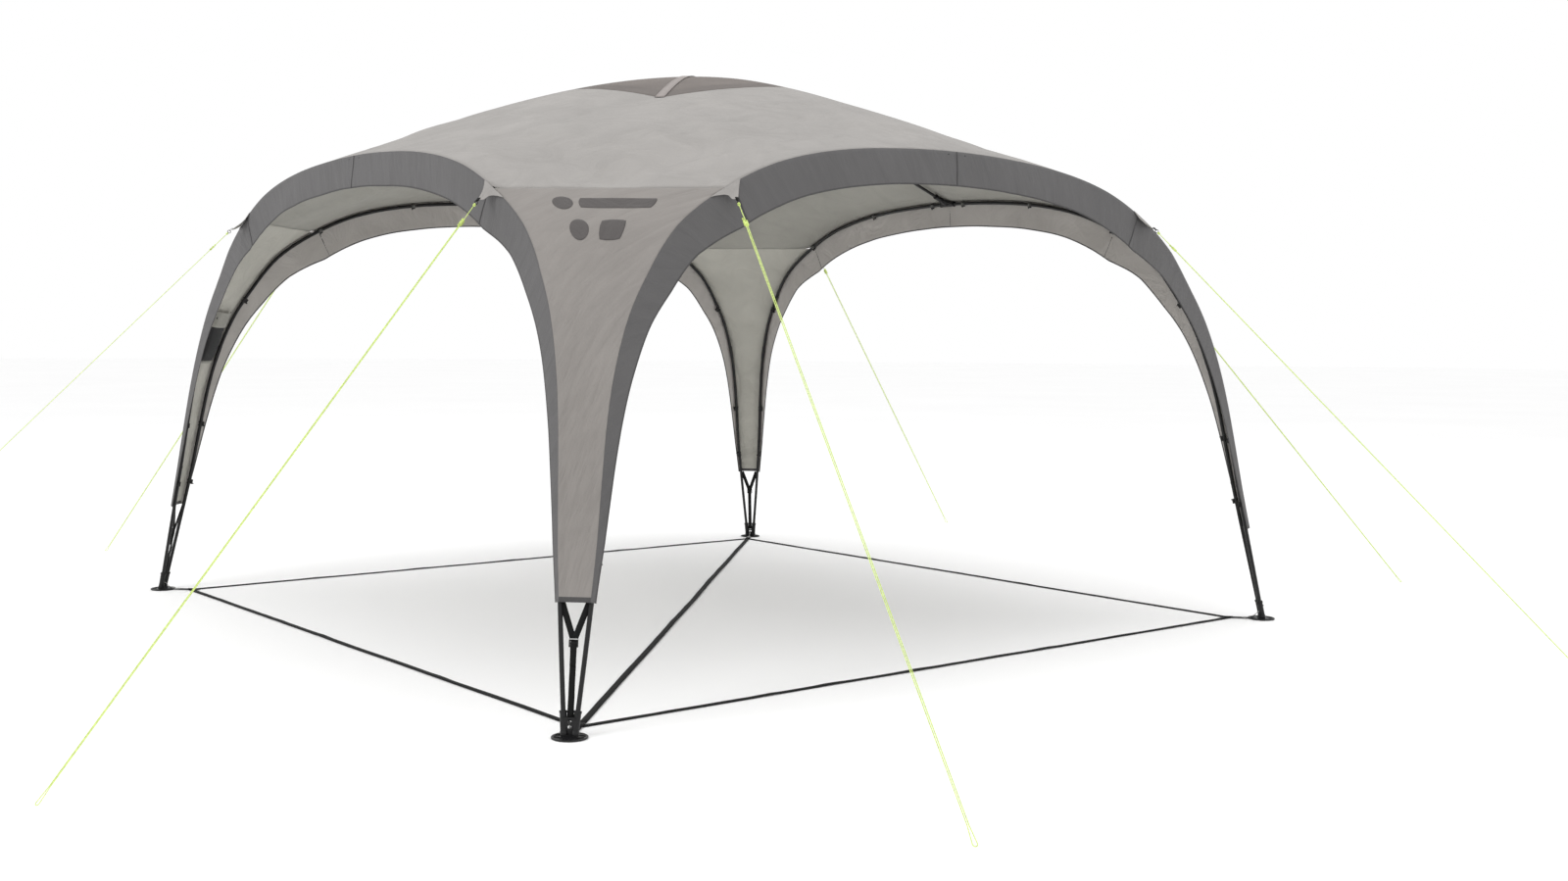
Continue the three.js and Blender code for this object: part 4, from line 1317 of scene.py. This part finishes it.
class SHELTER_OT_pole_fittings(bpy.types.Operator):
    """Adds the ferrules, the cloth's webbing loops and hooks, the arch tees and the centre hub"""
    bl_idname = "shelter.pole_fittings"
    bl_label = "Pole fittings"

    def execute(self, context):
        for k, side in enumerate(SIDES):
            self.loops(k, side)
            self.tee(k, side)
        self.hub()
        return {"FINISHED"}

    def loops(self, k, side):
        webs, hooks, sleeves = bmesh.new(), bmesh.new(), bmesh.new()
        for sign in (-1, 1):
            for u in LOOPS_AT:
                share = share_at_u(sign * u)
                way = (arch_at(share + 0.002) - arch_at(share - 0.002)).normalized()
                spot = arch_at(share)
                drum(webs, spot - way * 0.010, spot + way * 0.010, 0.0094, segments=24)
                drum(webs, spot - way * 0.007, spot + way * 0.007, 0.0101, segments=24)
                self.hook(hooks, share, way, 0.012, 0.9)
            for z in HOOKS_AT:
                share = share_at_height(z)
                share = share if sign > 0 else 1 - share
                way = (arch_at(share + 0.002) - arch_at(share - 0.002)).normalized()
                self.hook(hooks, share, way, 0.012, 1.25)
            for z, length in ((LEG_TOP_Z, 0.075), (0.60, 0.012)):
                share = share_at_height(z)
                share = share if sign > 0 else 1 - share
                way = (arch_at(share + 0.002) - arch_at(share - 0.002)).normalized()
                spot = arch_at(share)
                drum(sleeves, spot - way * length / 2, spot + way * length / 2, 0.0091,
                     segments=28)
        for name, bm, finish, slot in (
            (f"pole_loops_{side}", webs, "grey_web", "webbing"),
            (f"pole_hooks_{side}", hooks, "plastic", "connector_plastic"),
            (f"pole_ferrules_{side}", sleeves, "pole", "black_pole"),
        ):
            spin_side(bm, k)
            piece = finished(name, bm, [MATERIALS[finish]], hard=True)
            if finish != "pole":
                rounded(piece, 0.0008)
            fit(piece)

    def hook(self, bm, share, way, away, scale):
        """A moulded hook that clasps the pole from the doorway's side."""
        centre = arch_at(share, -away)
        inward = (centre - arch_at(share)).normalized()
        side = way.cross(inward)
        turn = Matrix((side, inward, way)).transposed()
        block(bm, centre, (0.011 * scale, 0.007 * scale, 0.018 * scale), turn)
        block(bm, centre + inward * 0.004 * scale + way * 0.006 * scale,
              (0.007 * scale, 0.009 * scale, 0.004 * scale), turn)
        ring(bm, arch_at(share) + way * 0.006 * scale, way, 0.0098, 0.0018, 24, 8)
        ring(bm, arch_at(share) - way * 0.006 * scale, way, 0.0098, 0.0018, 24, 8)

    def tee(self, k, side):
        drop = 0.0 if k % 2 == 0 else CROSS_DROP
        middle = on_side(0, MID_Z)

        def pole(y):
            rise = (ROOF_RISE - drop) * (1 - (y / ROOF_BASE) ** ROOF_POWER)
            return Vector((0, -y, MID_Z + rise))
        stub = pole(ROOF_BASE - TEE_REACH)
        along = (pole(ROOF_BASE - 0.105) - stub).normalized()
        body_end = stub + along * 0.062
        x_way = Vector((1, 0, 0))
        bm = bmesh.new()
        drum(bm, middle - x_way * 0.048, middle + x_way * 0.048, 0.0118, segments=32)
        for sign in (-1, 1):
            drum(bm, middle + x_way * sign * 0.040, middle + x_way * sign * 0.0485, 0.0132,
                 segments=32)
        drum(bm, middle, body_end, 0.0118, segments=32)
        drum(bm, body_end - along * 0.009, body_end + along * 0.0005, 0.0132, segments=32)
        square = x_way.cross(along)
        turn = Matrix((x_way, along, square)).transposed()
        for deep, trim in ((0.010, 1.0), (0.0145, 0.42)):
            made = block(bm, middle + along * 0.031, (0.088 * trim, 0.062, deep), turn)
            for vert in made:
                if (vert.co - middle).dot(along) > 0.031:
                    vert.co.x *= 0.18 / max(trim, 0.45)
        spin_side(bm, k)
        piece = finished(f"tee_{side}_moulding", bm, [MATERIALS["plastic"]], hard=True)
        rounded(piece, 0.0009)
        fit(piece, f"tee_{side}")

    def hub(self):
        top = Vector((0, 0, MID_Z + ROOF_RISE))
        middle = top - UP * (CROSS_DROP / 2 + 0.003)
        bm = bmesh.new()
        drum(bm, middle - UP * 0.021, middle + UP * 0.021, 0.025, segments=48)
        drum(bm, middle - UP * 0.0225, middle - UP * 0.018, 0.0215, segments=48)
        drum(bm, middle - UP * 0.0235, middle - UP * 0.021, 0.008, segments=6)
        for way, at in ((Vector((0, 1, 0)), top), (Vector((1, 0, 0)), top - UP * CROSS_DROP)):
            drum(bm, at - way * 0.027, at + way * 0.027, 0.0116, segments=32)
            for sign in (-1, 1):
                drum(bm, at + way * sign * 0.0225, at + way * sign * 0.0275, 0.0124, segments=32)
        piece = finished("centre_hub_moulding", bm, [MATERIALS["plastic"]], hard=True)
        rounded(piece, 0.0009)
        fit(piece, "centre_hub")


# ---- pocket and plain print --------------------------------------------------------------------
POCKET_Z, POCKET_HEIGHT, POCKET_WIDTH = 1.215, 0.230, 0.150
POCKET_DEPTH, POCKET_GAP = 0.014, 0.003


class SHELTER_OT_pocket(bpy.types.Operator):
    """Sews the mesh storage pocket inside the left leg, with a light flap over its mouth"""
    bl_idname = "shelter.pocket"
    bl_label = "Storage pocket"

    def execute(self, context):
        def pouch_at(s, t, proud=0.0, low=-0.5, high=0.5):
            z = POCKET_Z + POCKET_HEIGHT * (low + (high - low) * t)
            share = 1 - share_at_height(z)
            _, width, facing = corner_at(share)
            edge = ease(min(s, 1 - s) * 8) * ease((t * (high - low) + low + 0.5) * 7)
            bulge = (POCKET_DEPTH - 0.002) * edge * (1 - 0.35 * abs(2 * s - 1) ** 3) + proud
            across = POCKET_WIDTH * (s - 0.5) * (1 - 0.05 * math.sin(math.pi * t))
            fold = 0.0018 * edge * crinkle(s * 0.4, t * 0.5, 41.0)
            cloth_at = leg_cloth_at(0.5 - across / width, (share - leg_share(0)) / (
                leg_share(1) - leg_share(0)), LEG_SEEDS[3])
            return cloth_at - facing * (0.0025 + POCKET_GAP + bulge + fold)
        bm = cloth_grid(30, 34, POCKET_WIDTH, POCKET_HEIGHT, pouch_at)
        face_towards(bm, Vector((1, 1, 0)))
        spin_side(bm, 3)
        pouch = finished("pocket_pouch", bm, [MATERIALS["pocket"]])
        thicken(pouch, 0.0010)
        fit(pouch, "storage_pocket")
        bm = cloth_grid(30, 12, POCKET_WIDTH + 0.008, 0.07,
                        lambda s, t: pouch_at(s, t, 0.0022, 0.24, 0.56))
        face_towards(bm, Vector((1, 1, 0)))
        strip(bm, [pouch_at(i / 20, 0, 0.0032, -0.49, 0.5) for i in range(21)],
              [UP] * 21, 0.012)
        spin_side(bm, 3)
        flap = finished("pocket_flap", bm, [MATERIALS["lining"]])
        thicken(flap, 0.0010)
        fit(flap)
        return {"FINISHED"}


class SHELTER_OT_print(bpy.types.Operator):
    """Prints plain rounded marks high on the front leg"""
    bl_idname = "shelter.print_marks"
    bl_label = "Plain print"

    def execute(self, context):
        bm = bmesh.new()
        uv = bm.loops.layers.uv.verify()
        for s0, s1, t0, t1, steps, round_off in (
            (0.665, 0.770, 0.905, 0.957, 16, 0.5), (0.245, 0.635, 0.912, 0.952, 36, 0.10),
            (0.580, 0.705, 0.805, 0.870, 16, 0.5), (0.345, 0.510, 0.805, 0.870, 16, 0.22),
        ):
            made = bmesh.ops.create_grid(bm, x_segments=steps, y_segments=12, size=0.5)["verts"]
            flat = {v: (v.co.x * 2, v.co.y * 2) for v in made}
            for face in {f for v in made for f in v.link_faces}:
                for loop in face.loops:
                    loop[uv].uv = (flat[loop.vert][0] * 0.05, flat[loop.vert][1] * 0.03)
            for vert, (a, b) in flat.items():
                a, b = (a * math.sqrt(1 - round_off * b * b),
                        b * math.sqrt(1 - round_off * a * a))
                s, t = s0 + (s1 - s0) * (a + 1) / 2, t0 + (t1 - t0) * (b + 1) / 2
                spot = leg_cloth_at(s, t, LEG_SEEDS[0])
                vert.co = spot + corner_at(leg_share(t))[2] * 0.0009
        face_towards(bm, Vector((-1, -1, 0.2)))
        marks = finished("front_print", bm, [MATERIALS["print"]])
        thicken(marks, 0.0003)
        fit(marks)
        return {"FINISHED"}


# ---- panel and registration ------------------------------------------------------------------
OPERATORS = (
    SHELTER_OT_stage, SHELTER_OT_roof, SHELTER_OT_legs, SHELTER_OT_valances, SHELTER_OT_print,
    SHELTER_OT_pocket, SHELTER_OT_poles, SHELTER_OT_pole_fittings, SHELTER_OT_feet,
    SHELTER_OT_leg_straps, SHELTER_OT_ground_straps, SHELTER_OT_guy_tabs, SHELTER_OT_guylines,
)


class SHELTER_PT_panel(bpy.types.Panel):
    """Lists the shelter's sizes, colours and pieces"""
    bl_label = "Event shelter"
    bl_idname = "SHELTER_PT_panel"
    bl_space_type = "VIEW_3D"
    bl_region_type = "UI"
    bl_category = "Shelter"

    def draw(self, context):
        for group in (sizes(), colours()):
            box = self.layout.box()
            for name in group.__annotations__:
                box.prop(group, name)
        for operator in OPERATORS:
            self.layout.operator(operator.bl_idname)


CLASSES = (ShelterSizes, ShelterColours, *OPERATORS, SHELTER_PT_panel)


def register():
    for cls in CLASSES:
        bpy.utils.register_class(cls)
    bpy.types.Scene.shelter_sizes = bpy.props.PointerProperty(type=ShelterSizes)
    bpy.types.Scene.shelter_colours = bpy.props.PointerProperty(type=ShelterColours)


def unregister():
    del bpy.types.Scene.shelter_sizes
    del bpy.types.Scene.shelter_colours
    for cls in reversed(CLASSES):
        bpy.utils.unregister_class(cls)


def main():
    register()
    make_materials()
    for operator in OPERATORS:
        group, name = operator.bl_idname.split(".")
        getattr(getattr(bpy.ops, group), name)()


if __name__ == "__main__":
    main()
